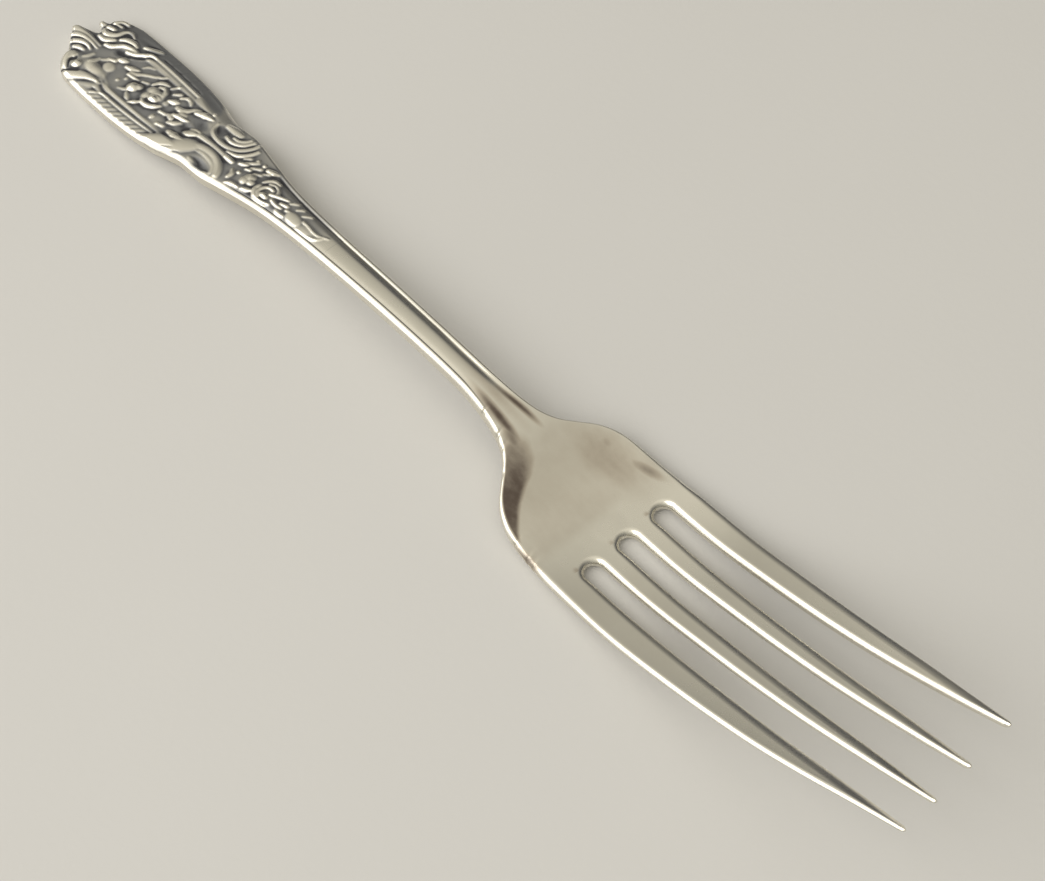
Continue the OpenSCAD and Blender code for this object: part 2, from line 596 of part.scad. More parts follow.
module tine(k) {
    r = slot_w / 2;
    body_l = tine_l - tip_w;
    sections = concat(
        [for (s = slot_end_shares) tine_section(k, r * s, 1)],
        [for (i = [0:len(tine_run_shares) - 3]) tine_section(k, mix(r, body_l, tine_run_shares[i]), 1)],
        [for (s = tip_round_shares) tine_section(k, tine_l - tip_w * s[0], s[1])]
    );
    color(k % 2 == 0 ? "silver" : "gainsboro")
        loft(sections, tine_cols + 1 + 2 * tine_corner_steps);
}

handle_crest();
flower_panel();
scroll_shoulder();
leaf_drop();
stem();
neck();
root();
tine(1);  // tine_1
tine(2);  // tine_2
tine(3);  // tine_3
tine(4);  // tine_4
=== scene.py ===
import math

import bpy
import numpy as np
from mathutils import Matrix, Vector


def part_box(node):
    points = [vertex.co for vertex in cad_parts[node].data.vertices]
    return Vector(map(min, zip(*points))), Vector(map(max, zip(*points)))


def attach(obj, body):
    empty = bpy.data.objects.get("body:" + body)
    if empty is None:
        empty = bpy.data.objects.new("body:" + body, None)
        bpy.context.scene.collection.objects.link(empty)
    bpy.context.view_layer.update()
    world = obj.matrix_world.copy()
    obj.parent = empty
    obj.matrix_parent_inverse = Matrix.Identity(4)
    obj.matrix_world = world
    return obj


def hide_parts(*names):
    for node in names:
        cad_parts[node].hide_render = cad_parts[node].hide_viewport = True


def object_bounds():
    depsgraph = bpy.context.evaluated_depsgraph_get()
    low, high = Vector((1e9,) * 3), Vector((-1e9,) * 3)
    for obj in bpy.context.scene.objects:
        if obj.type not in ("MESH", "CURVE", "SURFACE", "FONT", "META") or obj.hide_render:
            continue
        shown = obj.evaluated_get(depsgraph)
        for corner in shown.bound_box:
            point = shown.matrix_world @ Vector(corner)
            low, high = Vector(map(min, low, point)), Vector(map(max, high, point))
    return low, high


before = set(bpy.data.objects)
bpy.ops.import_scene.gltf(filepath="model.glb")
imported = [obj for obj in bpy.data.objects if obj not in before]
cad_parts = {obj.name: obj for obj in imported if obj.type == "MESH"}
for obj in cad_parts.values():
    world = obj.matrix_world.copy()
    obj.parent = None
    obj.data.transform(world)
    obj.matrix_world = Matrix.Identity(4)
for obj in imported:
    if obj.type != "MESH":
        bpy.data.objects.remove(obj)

# Dinner fork of worn solid silver, one struck blank shown zone by zone.
# Shapes are worked out in millimetres along the fork: x from the crest of the handle
# to the tips, y across it towards the far side, z up from the table.
MM = 0.001
cad_low, cad_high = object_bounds()


def reach(node):
    """Where a zone starts and ends along the fork, and half of its width, in millimetres."""
    low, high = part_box(node)
    return (low.x - cad_low.x) / MM, (high.x - cad_low.x) / MM, (high.y - low.y) / 2 / MM


crest_x, panel_x, _ = reach("handle_crest")
_, shoulder_x, handle_half = reach("flower_panel")
_, drop_x, _ = reach("scroll_shoulder")
_, stem_x, drop_half = reach("leaf_drop")
_, neck_x, _ = reach("stem")
_, root_x, throat_half = reach("neck")
_, slot_x, head_half = reach("root")
tip_x = reach("tine_2")[1]
crest_l, panel_l, shoulder_l = panel_x - crest_x, shoulder_x - panel_x, drop_x - shoulder_x
drop_l, stem_l, neck_l = stem_x - drop_x, neck_x - stem_x, root_x - neck_x
root_l, tine_l = slot_x - root_x, tip_x - slot_x

# Half widths that the zones' own boxes don't give
end_half, waist_half, stem_half, neck_half, tip_half = 7.9, 5.9, 2.82, 2.52, 10.1
# Heights of the lower face under the arch and at the tips, and of the dish across the head
arch_h, tip_h, dish_h = 5.3, 15.2, 3.0
# Thickness of the handle, the stem, the bowl and the tines' tips
handle_t, stem_t, bowl_t, tip_t = 2.2, 2.9, 1.9, 1.1
# The flat worn under the bowl: its depth, and the length over which it sets in
wear_d, wear_l = 0.04, 8.0
# Slots and tines: widths beside the slots' ends, a tine's width at its tip, the slots' shift to the far side
slot_w, tine_w, tip_w, slot_shift = 3.1, 3.7, 0.8, 0.3


def run(x, length, a, b, shares):
    """Points of a zone's line, from shares of its length and of the change between two values."""
    return [(x + length * s, a + (b - a) * v) for s, v in shares]


def soft(t):
    """From 0 to 1 with soft ends."""
    c = np.clip(t, 0, 1)
    return c * c * (3 - 2 * c)


def mix(a, b, t):
    """From a to b as t goes from 0 to 1."""
    return a + (b - a) * t


def bell(size, step):
    """Weights of a smooth bell, for softening a line or a sheet of heights."""
    n = int(math.ceil(3 * size / step))
    w = np.exp(-0.5 * (np.arange(-n, n + 1) * step / size) ** 2)
    return w / w.sum()


class Line:
    """A smooth line through points of (place, value), softened so that reflections run over it evenly."""

    STEP = 0.05

    def __init__(self, points, softness):
        x, v = np.array(points, float).T
        rise = np.diff(v) / np.diff(x)
        both = rise[:-1] * rise[1:]
        slope = np.concatenate([rise[:1], np.zeros(len(x) - 2), rise[-1:]])
        even = both > 0
        slope[1:-1][even] = 2 * both[even] / (rise[:-1] + rise[1:])[even]
        reach_n = int(math.ceil(3 * softness / self.STEP))
        self.x = np.arange(-reach_n, int(round(x[-1] / self.STEP)) + reach_n + 1) * self.STEP
        at = np.clip(self.x, x[0], x[-1])
        i = np.clip(np.searchsorted(x, at, side="right") - 1, 0, len(x) - 2)
        w = x[i + 1] - x[i]
        s = (at - x[i]) / w
        line = v[i] + s * s * (3 - 2 * s) * (v[i + 1] - v[i])
        line = line + w * s * (1 - s) * ((1 - s) * slope[i] - s * slope[i + 1])
        line = line + (self.x - at) * np.where(self.x > x[-1], slope[-1], slope[0])
        self.v = np.convolve(line, bell(softness, self.STEP), "same")

    def __call__(self, x):
        return np.interp(x, self.x, self.v)


outline = Line(
    run(0, crest_l, end_half, handle_half, [(0.38, 0), (0.58, 0.6), (1, 1)])
    + run(panel_x, panel_l, handle_half, waist_half, [(0.3, 0.01), (0.6, 0.12), (0.9, 0.4), (1, 0.55)])
    + run(shoulder_x, shoulder_l, handle_half, waist_half, [(0.16, 0.78), (0.4, 1), (0.7, 1)])
    + run(drop_x, drop_l, drop_half, stem_half, [
        (0, 0), (0.13, 0.25), (0.25, 0.46), (0.4, 0.68), (0.63, 0.87), (1, 1)])
    + run(stem_x, stem_l, stem_half, neck_half, [(0.28, 0.5), (0.6, 0.88), (0.85, 1)])
    + run(neck_x, neck_l, neck_half, throat_half, [(0, 0.04), (0.3, 0.16), (0.7, 0.48)])
    + run(root_x, root_l, throat_half, head_half, [
        (0, 0), (0.12, 0.16), (0.22, 0.41), (0.32, 0.67), (0.42, 0.82), (0.52, 0.9), (0.65, 0.945),
        (0.83, 0.98), (1, 1)])
    + run(slot_x, tine_l, head_half, tip_half, [
        (0.12, 0), (0.32, 0.07), (0.46, 0.16), (0.61, 0.3), (0.75, 0.51), (0.89, 0.8), (1, 1)]),
    softness=0.5,
)
# Height of the lower face in each zone: share of the zone's length, and share of the arch
ARCH_SHARES = {
    (crest_x, crest_l): [(0, 0), (0.8, 0)],
    (panel_x, panel_l): [(0.3, 0.1), (0.8, 0.25)],
    (shoulder_x, shoulder_l): [(0, 0.32), (0.6, 0.47)],
    (drop_x, drop_l): [(0, 0.57), (0.5, 0.72)],
    (stem_x, stem_l): [(0, 0.85), (0.5, 0.98), (0.75, 1)],
    (neck_x, neck_l): [(0, 0.98), (0.5, 0.85)],
    (root_x, root_l): [
        (0, 0.68), (0.16, 0.49), (0.33, 0.3), (0.49, 0.14), (0.65, 0.04), (0.82, 0), (0.98, 0)],
}
lower_line = Line(
    [p for (x, length), shares in ARCH_SHARES.items() for p in run(x, length, 0, arch_h, shares)]
    + run(slot_x, tine_l, 0, tip_h, [
        (0.04, 0.006), (0.15, 0.04), (0.37, 0.215), (0.61, 0.465), (0.82, 0.75), (1, 1)]),
    softness=2.0,
)
dish_line = Line(
    [(0, 0)]
    + run(root_x, root_l, 0, dish_h, [(0, 0), (0.38, 0.06), (0.82, 0.16)])
    + run(slot_x, tine_l, 0, dish_h, [
        (0, 0.25), (0.27, 0.38), (0.46, 0.5), (0.65, 0.66), (0.83, 0.85), (1, 1)]),
    softness=1.5,
)
thick_line = Line(
    [(0, handle_t), (shoulder_x, handle_t)]
    + run(drop_x, drop_l, handle_t, stem_t, [(0.25, 0.25), (1, 0.6)])
    + run(stem_x, stem_l, handle_t, stem_t, [(0.6, 0.95), (1, 1)])
    + run(root_x, root_l, stem_t, bowl_t, [(0, 0.1), (0.33, 0.55), (0.76, 0.92), (1, 1)])
    + run(slot_x, tine_l, bowl_t, tip_t, [(0.25, 0.35), (0.6, 0.6), (0.85, 0.85), (1, 1)]),
    softness=1.5,
)
# End of the crest, seen from above: place across the fork, and distance from its very end
end_line = Line(
    [(place + handle_half, max(at, 0.02)) for place, at in [
        (-8.4, 8.0), (-7.9, 6.9), (-7.3, 5.9), (-6.5, 5.1), (-5.6, 4.5), (-4.9, 4.25), (-4.2, 4.3),
        (-3.8, 3.6),
        (-3.4, 2.8), (-3.0, 2.75), (-2.7, 2.3), (-2.2, 1.35), (-1.75, 1.35), (-1.4, 0.7), (-0.8, 0.06),
        (-0.3, 0.05), (0.3, 0.5), (0.8, 2.0), (1.3, 3.4), (1.8, 4.2), (2.2, 4.2), (2.6, 3.4), (2.9, 2.6),
        (3.3, 2.2), (3.8, 2.2), (4.2, 3.0), (4.5, 3.6), (5.2, 3.4), (6.0, 3.6), (6.7, 4.2), (7.3, 5.0),
        (7.8, 6.4), (8.3, 8.2)]],
    softness=0.12,
)


def low(x, y):
    """Height of the lower face, dished across the head and worn flat where the fork rests."""
    dished = lower_line(x) + dish_line(x) * (y / outline(x)) ** 2
    return np.maximum(0, dished - wear_d * soft((x - root_x) / wear_l))


# The struck ornament of the handle: its height in millimetres over the plain blank, which strokes,
# domes and swellings take shares of
RELIEF = 0.33
# The strokes' feet spread wider than their worn ridges
SPREAD = 1.32
# The strokes' places are those of their lit flanks; their tops lie this much closer to the far side
LEAN = 0.24
# Distance between the lobes of a leaf's edge, and how much its width varies
LOBE_PITCH, LEAF_LOBES = 1.2, 0.05


class Die:
    """Heights over the handle's face on a fine even grid, cut stroke by stroke as a die sinker would."""

    STEP = 0.08

    def __init__(self):
        self.x = np.arange(-1, stem_x + 2, self.STEP)
        self.y = np.arange(-handle_half - 1, handle_half + 1, self.STEP)
        self.base = np.zeros((len(self.x), len(self.y)))
        self.raised = np.zeros_like(self.base)

    def window(self, low_x, high_x, low_y, high_y):
        """The part of the grid inside a box, with the places of its points."""
        i = slice(*np.searchsorted(self.x, [low_x, high_x]))
        j = slice(*np.searchsorted(self.y, [low_y, high_y]))
        return (i, j), self.x[i, None], self.y[None, j]

    def oval(self, x, y, rx, ry, turn):
        """The part of the grid round an oval, and the square of the distance from its middle, 1 on its rim."""
        r = max(rx, ry)
        spot, gx, gy = self.window(x - r, x + r, y - r, y + r)
        c, s = math.cos(math.radians(turn)), math.sin(math.radians(turn))
        along, aside = (gx - x) * c + (gy - y) * s, -(gx - x) * s + (gy - y) * c
        return spot, (along / rx) ** 2 + (aside / ry) ** 2

    def stroke(self, height, path, score=False, lobes=0.0):
        """Raises a rounded ridge along (x, y, half width) points; score sinks it, lobes vary its width."""
        p = spline(path) + (0, 0 if score else LEAN, 0)
        along = np.cumsum(np.hypot(*np.diff(p[:, :2], axis=0, prepend=p[:1, :2]).T))
        p[:, 2] *= 1 + lobes * np.sin(2 * math.pi * (along / LOBE_PITCH + p[0, 0]))
        edge = p[:, 2].max() * SPREAD
        lowest, highest = p.min(0) - edge, p.max(0) + edge
        spot, gx, gy = self.window(lowest[0], highest[0], lowest[1], highest[1])
        ridge = np.zeros(np.broadcast(gx, gy).shape)
        for (x0, y0, w0), (x1, y1, w1) in zip(p[:-1], p[1:]):
            ex, ey = x1 - x0, y1 - y0
            t = np.clip(((gx - x0) * ex + (gy - y0) * ey) / max(ex * ex + ey * ey, 1e-9), 0, 1)
            w = mix(w0, w1, t) * SPREAD
            away = ((gx - x0 - ex * t) ** 2 + (gy - y0 - ey * t) ** 2) / w ** 2
            ridge = np.maximum(ridge, np.sqrt(w / edge) * np.clip(1 - away, 0, 1) ** 0.9)
        if score:
            self.base[spot] -= height * RELIEF * ridge
        else:
            self.raised[spot] = np.maximum(self.raised[spot], height * RELIEF * ridge)

    def dome(self, height, x, y, rx, ry, turn, roundness=0.9):
        """Raises a boss, which is more level on top where its roundness is smaller."""
        spot, q = self.oval(x, y + LEAN, rx, ry, turn)
        boss = RELIEF * height * np.clip(1 - q, 0, 1) ** roundness
        self.raised[spot] = np.maximum(self.raised[spot], boss)

    def swell(self, height, x, y, rx, ry, turn):
        """Adds a broad soft swelling to the ground, or sinks a dish where height is below zero."""
        spot, q = self.oval(x, y, rx, ry, turn)
        self.base[spot] += RELIEF * height * np.clip(1 - q, 0, 1) ** 1.5

    def softened(self, size):
        """The heights with their creases rounded over a distance."""
        w = bell(size, self.STEP)
        n = len(w) // 2
        rows, columns = self.base.shape
        h = np.pad(self.base + self.raised, n, "edge")
        h = sum(k * h[i:i + rows, :] for i, k in enumerate(w))
        return sum(k * h[:, i:i + columns] for i, k in enumerate(w))

    def at(self, sheet, x, y):
        """A sheet's value at places between the grid's points."""
        i = np.clip((x - self.x[0]) / self.STEP, 0, len(self.x) - 2)
        j = np.clip((y - self.y[0]) / self.STEP, 0, len(self.y) - 2)
        i0, j0 = i.astype(int), j.astype(int)
        u, v = i - i0, j - j0
        near, far = (mix(sheet[i0, k], sheet[i0 + 1, k], u) for k in (j0, j0 + 1))
        return mix(near, far, v)


def spline(path, between=8):
    """Points along a smooth curve through (x, y, half width)."""
    p = np.array(path, float)
    if len(p) == 2:
        return mix(p[0], p[1], np.linspace(0, 1, between)[:, None])
    q = np.vstack([2 * p[0] - p[1], p, 2 * p[-1] - p[-2]])
    t = np.linspace(0, 1, between, endpoint=False)[:, None]
    parts = []
    for a, b, c, d in zip(q[:-3], q[1:-2], q[2:-1], q[3:]):
        bend, twist = 2 * a - 5 * b + 4 * c - d, 3 * b - a - 3 * c + d
        parts.append(0.5 * (2 * b + (c - a) * t + bend * t ** 2 + twist * t ** 3))
    return np.vstack(parts + [p[-1:]])


def arc(x, y, r, start, end, width):
    """A path of (x, y, half width) round a middle, its angles in degrees from +X towards +Y."""
    n = max(3, int(abs(end - start) / 30) + 1)
    turns = [math.radians(mix(start, end, i / (n - 1))) for i in range(n)]
    return [(x + r * math.cos(turn), y + r * math.sin(turn), width) for turn in turns]


# Strokes of the ornament: height as a share of the relief, then points of (x, y, half width)
CREST_STROKES = [
    # nested ridges beside the middle
    (1.0, [(0.3, -1.0, 0.6), (1.1, -0.75, 0.75), (2.6, -0.35, 0.46), (4.6, -0.15, 0.34), (7.2, -0.2, 0.2)]),
    (1.0, [(1.6, -2.3, 0.46), (2.5, -1.5, 0.5), (3.8, -0.95, 0.44), (5.5, -0.8, 0.3), (7.4, -0.9, 0.18)]),
    (1.0, [(2.9, -3.3, 0.44), (3.7, -2.5, 0.46), (4.7, -1.85, 0.42), (5.8, -1.65, 0.3), (6.8, -1.9, 0.18)]),
    (0.9, [(4.4, -3.6, 0.34), (5.2, -3.05, 0.42), (6.2, -2.8, 0.24)]),
    # volute that closes the near corner
    (0.7, [(7.8, -7.5, 0.3), (6.9, -6.9, 0.6), (5.9, -6.1, 0.75), (5.4, -5.3, 0.75), (5.7, -4.6, 0.55),
           (6.3, -4.25, 0.3)]),
    # broad wave beside it and a thinner one behind
    (1.1, [(8.5, -8.1, 0.7), (10.0, -7.05, 0.8), (11.6, -6.05, 0.6), (13.2, -5.45, 0.36), (14.6, -5.3, 0.18)]),
    (0.25, [(11.9, -7.7, 0.3), (13.2, -7.0, 0.4), (14.6, -6.3, 0.28)]),
    # soft fan and cushion
    (0.5, [(7.5, -3.7, 0.3), (7.9, -2.9, 0.38), (8.1, -2.1, 0.3)]),
    (0.5, [(9.1, -3.6, 0.3), (9.6, -2.8, 0.42), (9.7, -2.0, 0.3)]),
    # leaf that runs up to the bead
    (0.5, [(10.1, -1.9, 0.25), (10.9, -1.1, 0.34)]),
    (0.8, [(10.8, -0.9, 0.3), (11.9, -0.35, 0.34)]),
    (1.0, [(12.0, 0.3, 0.3), (12.7, 0.7, 0.5), (13.4, 1.1, 0.25)]),
    # far scrolls
    (0.8, [(2.7, 3.1, 0.5), (3.3, 3.15, 0.5)]),
    (1.5, [(4.5, 4.8, 0.36), (4.75, 5.6, 0.45), (5.3, 6.2, 0.5), (6.2, 6.4, 0.34)]),
    (0.8, [(5.0, 4.9, 0.28), (6.0, 5.2, 0.28)]),
    (1.0, [(4.5, 3.35, 0.36), (5.6, 3.75, 0.42)]),
    (1.1, [(4.7, 2.35, 0.4), (5.7, 2.2, 0.55), (6.7, 2.75, 0.5), (7.25, 3.6, 0.38), (7.4, 4.6, 0.34),
           (7.8, 5.35, 0.34), (8.7, 5.55, 0.34), (9.7, 5.2, 0.22)]),
    (1.0, [(5.2, 1.05, 0.34), (6.4, 1.1, 0.45), (7.3, 1.75, 0.42), (7.9, 2.4, 0.26)]),
    (1.0, [(7.6, 0.65, 0.34), (8.6, 1.1, 0.44), (9.3, 1.9, 0.38), (10.0, 2.7, 0.36), (11.1, 3.2, 0.38),
           (12.5, 3.5, 0.3), (13.2, 3.3, 0.16)]),
    (1.0, [(8.5, 3.2, 0.28), (9.3, 4.0, 0.48), (10.8, 4.4, 0.42), (11.8, 4.2, 0.2)]),
    # leaf across the far corner of the frame
    (1.1, [(12.7, 5.2, 0.3), (13.8, 5.85, 0.5), (14.9, 6.45, 0.5), (15.7, 6.85, 0.28)]),
]
# Bosses of the ornament: height as a share of the relief, middle, half sizes, turn and, if not 0.9, roundness
CREST_DOMES = [
    (1.3, 8.1, -5.6, 0.9, 0.95, -20),
    (0.6, 6.15, -4.75, 0.62, 0.55, 0),
    (0.6, 12.4, -2.0, 1.25, 1.05, 0, 0.5),
]
# Frame of the panel: fillets that turn at their mitres, far side and near side
FRAME_STROKES = [
    (0.9, [(11.5, 2.3, 0.28), (12.9, 3.0, 0.34), (14.2, 4.1, 0.36), (15.1, 4.95, 0.32), (16.4, 5.15, 0.24)]),
    (0.45, [(16.0, 5.15, 0.26), (20.5, 5.15, 0.26), (28.9, 4.8, 0.22)]),
    (0.25, [(13.3, 2.0, 0.26), (14.6, 3.0, 0.3), (15.7, 4.0, 0.3), (17.2, 4.4, 0.28), (22, 4.4, 0.26),
            (28.6, 4.1, 0.2)]),
    (0.4, [(15.0, -7.6, 0.2), (16.0, -6.8, 0.24), (17.0, -6.3, 0.22), (18.4, -6.15, 0.2)]),
    (0.24, [(17.4, -6.25, 0.2), (22, -6.1, 0.2), (26.4, -5.9, 0.2), (30.2, -5.65, 0.2)]),
    (0.2, [(13.4, -3.7, 0.2), (15.0, -4.3, 0.26), (16.6, -4.9, 0.26), (18.4, -5.0, 0.24), (24, -4.85, 0.22),
           (30.8, -4.5, 0.2)]),
]
PANEL_STROKES = [
    # leaves and twigs ahead of the first bud
    (1.0, [(14.2, 0.25, 0.26), (15.4, 0.65, 0.5), (16.6, 1.25, 0.22)]),
    (0.7, [(15.9, 0.0, 0.26), (17.0, 0.4, 0.4), (17.8, 1.1, 0.32), (18.9, 1.85, 0.3), (20.1, 2.5, 0.26)]),
    (0.8, [(15.9, -0.5, 0.28), (17.2, -0.35, 0.32), (18.5, -0.1, 0.14)]),
    (0.6, [(19.2, 0.15, 0.24), (20.3, 0.6, 0.26)]),
    (0.6, [(19.9, 2.6, 0.2), (20.8, 3.0, 0.28), (21.4, 3.6, 0.2)]),
    (0.5, [(16.5, 2.2, 0.2), (17.1, 3.0, 0.26), (18.2, 3.4, 0.18)]),
    # leaves under the bud
    (0.7, [(19.5, -3.4, 0.24), (20.3, -3.8, 0.38), (21.0, -4.15, 0.2)]),
    (0.9, [(21.5, -4.35, 0.2), (22.3, -3.6, 0.36), (22.9, -3.0, 0.26)]),
    (0.5, [(17.4, -3.6, 0.2), (18.4, -3.2, 0.3), (19.2, -2.9, 0.2)]),
    # outer petals of the rose
    (1.0, [(22.6, -2.4, 0.26), (23.6, -2.8, 0.38), (24.9, -2.5, 0.4), (25.8, -1.8, 0.34), (26.3, -1.1, 0.22)]),
    (0.9, [(21.1, 1.0, 0.3), (21.6, 1.95, 0.4), (22.4, 2.5, 0.42), (23.4, 2.75, 0.24)]),
    (0.9, [(22.5, 1.45, 0.3), (23.5, 1.8, 0.4), (24.4, 1.3, 0.36), (24.8, 0.5, 0.24)]),
    (0.7, [(24.1, 2.6, 0.24), (24.8, 3.7, 0.28)]),
    (0.8, [(25.5, 2.1, 0.26), (26.5, 2.95, 0.34)]),
    (1.1, [(26.3, 0.65, 0.36), (27.1, 1.0, 0.5), (27.7, 1.4, 0.34)]),
    (0.8, [(27.2, 2.45, 0.26), (28.0, 3.15, 0.34), (29.0, 3.1, 0.34), (29.7, 2.6, 0.22)]),
    (0.8, [(27.1, -1.9, 0.3), (28.4, -1.65, 0.34)]),
    (0.7, [(29.1, -3.95, 0.3), (30.4, -3.55, 0.34)]),
    # last blossom, whose petals run into the long leaves
    (0.9, [(28.6, 0.65, 0.36), (29.7, 0.75, 0.5), (30.6, 1.5, 0.42), (31.1, 2.4, 0.36), (32.0, 3.0, 0.22)]),
    (1.2, [(31.8, 2.15, 0.36), (33.0, 2.7, 0.55), (34.1, 2.95, 0.46), (35.4, 3.15, 0.16)]),
    (0.9, [(29.4, -0.85, 0.34), (30.6, -0.5, 0.38), (31.7, -0.25, 0.34), (32.5, 0.1, 0.16)]),
    (0.8, [(28.9, -1.35, 0.36), (30.0, -1.65, 0.42)]),
    (0.8, [(30.2, -2.45, 0.28), (31.2, -1.95, 0.42), (32.1, -1.05, 0.18)]),
    (1.4, [(32.0, -3.65, 0.34), (33.5, -3.65, 0.66), (34.9, -3.4, 0.46), (35.9, -3.15, 0.2)]),
]
PANEL_DOMES = [
    (0.6, 16.6, -1.4, 0.42, 0.42, 0),
    (0.6, 15.8, -2.6, 0.42, 0.42, 0),
    (1.7, 19.2, -1.8, 1.25, 1.15, 20),
    (1.2, 19.9, -1.1, 0.9, 0.8, 30),
    (0.75, 22.3, 0.2, 1.3, 0.95, 20),
    (0.7, 24.0, -0.2, 1.5, 1.3, 0),
    (0.65, 22.3, -1.5, 0.8, 0.9, 0),
    (1.4, 24.0, -1.1, 1.2, 0.7, 5),
    (0.7, 27.2, -3.5, 0.55, 0.65, 0),
    (0.7, 30.7, 0.25, 1.0, 0.7, 15),
    (0.7, 34.4, 4.1, 0.42, 0.42, 0),
    (0.55, 26.4, -0.2, 0.7, 0.6, 0),
]
SHOULDER_STROKES = [
    # midrib with its two heads
    (1.3, [(34.2, -1.75, 0.45), (35.0, -1.45, 0.72), (35.9, -1.0, 0.46)]),
    (0.7, [(35.6, -1.1, 0.34), (36.8, -0.6, 0.44), (38.4, -0.45, 0.44), (41.0, -0.4, 0.4), (43.8, -0.5, 0.4)]),
    (1.1, [(43.6, -0.5, 0.4), (44.6, -0.5, 0.46), (45.5, -0.55, 0.36)]),
    (0.7, [(34.2, -0.7, 0.22), (35.2, -0.3, 0.28), (36.4, -0.15, 0.2)]),
    # near scroll: broad wave whose band curls over and down to the volute, and the lip inside it
    (1.0, [(29.8, -7.4, 0.3), (31.6, -6.5, 0.9), (33.6, -5.5, 1.3), (35.6, -4.4, 1.5), (37.2, -3.3, 1.25),
           (38.4, -2.5, 0.8)]),
    (0.8, [(37.0, -3.0, 0.5), (38.6, -2.2, 0.62), (40.4, -1.75, 0.62), (42.4, -1.8, 0.6), (44.2, -2.45, 0.6),
           (45.5, -3.5, 0.6), (46.1, -4.5, 0.5), (46.0, -5.2, 0.3)]),
    (0.5, [(38.9, -3.1, 0.2), (40.2, -2.7, 0.34), (42.2, -2.75, 0.36), (43.8, -3.2, 0.36), (44.8, -4.1, 0.36),
           (45.0, -5.0, 0.26)]),
    # far shell: fan of arcs that open to the edge
    (0.7, [(36.5, 3.2, 0.24), (36.9, 2.2, 0.34), (37.7, 1.45, 0.4), (39.0, 0.95, 0.4), (40.9, 0.8, 0.4),
           (42.6, 1.05, 0.4), (44.0, 1.65, 0.4), (45.0, 2.65, 0.38), (45.6, 3.8, 0.34), (45.7, 4.7, 0.28)]),
    (0.9, [(42.9, 0.35, 0.22), (44.6, 0.7, 0.36), (45.7, 1.5, 0.36), (46.5, 2.7, 0.36), (46.8, 3.8, 0.3)]),
    (0.85, [(39.9, 2.35, 0.26), (41.6, 2.1, 0.36), (43.0, 2.45, 0.36), (44.0, 3.2, 0.36), (44.7, 4.6, 0.28)]),
    (0.85, [(41.2, 2.95, 0.22), (42.5, 3.05, 0.32), (43.4, 3.7, 0.34), (43.9, 4.6, 0.28)]),
    (0.75, [(38.3, 4.1, 0.5), (39.6, 4.15, 0.66), (41.6, 4.15, 0.55)]),
    # small leaves that lead over to the drop
    (0.9, [(46.6, 0.1, 0.24), (47.3, 0.4, 0.34), (48.0, 0.8, 0.2)]),
    (0.8, [(46.9, -1.5, 0.24), (47.6, -2.2, 0.36), (47.6, -3.0, 0.3)]),
    (0.8, [(48.4, 0.0, 0.2), (49.2, 0.35, 0.26)]),
]
SHOULDER_DOMES = [
    (0.9, 44.2, -5.5, 0.85, 0.7, 0),
    (0.7, 40.5, -4.9, 1.5, 0.5, -4),
    (0.9, 48.2, -1.2, 0.5, 0.4, 0),
]
DROP_STROKES = [
    # slanted hatching and beads along the far side
    (0.6, [(46.4, 1.3, 0.2), (47.2, 2.0, 0.28)]),
    (0.7, [(47.4, 0.9, 0.22), (48.5, 1.8, 0.3), (49.0, 2.3, 0.2)]),
    (0.7, [(48.9, 0.75, 0.22), (50.3, 1.7, 0.3)]),
    (0.6, [(50.3, 0.3, 0.2), (51.4, 0.9, 0.26)]),
    (0.6, [(51.4, 1.3, 0.2), (52.2, 1.9, 0.26)]),
    (1.2, [(51.3, 2.35, 0.34), (52.1, 2.5, 0.48), (53.1, 3.0, 0.2)]),
    # leaves on the near side
    (0.9, [(51.3, -3.1, 0.26), (52.1, -2.75, 0.4), (53.0, -2.25, 0.24)]),
    (0.8, [(48.3, -4.1, 0.24), (49.2, -3.5, 0.38), (50.6, -3.3, 0.2)]),
    # open blossom: rings round its eye
    (1.0, [(53.0, -0.5, 0.24), (53.0, -1.6, 0.34), (53.7, -2.4, 0.36), (54.9, -2.8, 0.36), (56.2, -2.65, 0.34),
           (57.1, -2.1, 0.22)]),
    (0.9, [(52.8, 0.2, 0.22), (53.4, 1.1, 0.32), (54.2, 1.7, 0.34), (55.2, 1.8, 0.24)]),
    (0.8, arc(55.1, -1.1, 1.35, 75, 250, 0.28)),
    (0.7, arc(55.1, -0.6, 1.75, 20, 130, 0.26)),
    (0.8, [(55.8, -0.7, 0.22), (57.1, 0.0, 0.3), (58.9, 0.7, 0.18)]),
    # second row of hatching, leaf and bud
    (0.8, [(58.4, -0.6, 0.26), (59.6, -0.25, 0.32)]),
    (0.6, [(59.5, 0.5, 0.2), (60.5, 1.4, 0.26)]),
    (0.6, [(61.3, 0.4, 0.2), (62.1, 1.2, 0.26)]),
    (0.6, [(62.9, 0.2, 0.18), (64.1, 1.2, 0.26)]),
    (0.55, [(58.8, -2.0, 0.26), (59.7, -2.2, 0.4), (60.6, -2.0, 0.24)]),
    (0.7, [(56.8, -1.2, 0.22), (58.0, -1.35, 0.3), (59.2, -1.2, 0.22)]),
    (0.6, [(60.1, -0.9, 0.22), (60.7, -0.7, 0.26)]),
    # tail leaf: its upper fold, its curled tip and its lower edge
    (0.6, [(64.0, -0.45, 0.26), (65.2, -0.45, 0.28), (66.6, -0.65, 0.26), (67.8, -0.6, 0.26),
           (68.6, -0.25, 0.24), (69.4, 0.15, 0.16)]),
    (0.5, [(66.6, -1.95, 0.16), (67.6, -1.6, 0.24), (68.3, -1.1, 0.24), (68.7, -0.6, 0.2)]),
    (0.2, [(63.9, -2.2, 0.2), (64.8, -2.1, 0.26), (66.0, -2.2, 0.2)]),
]
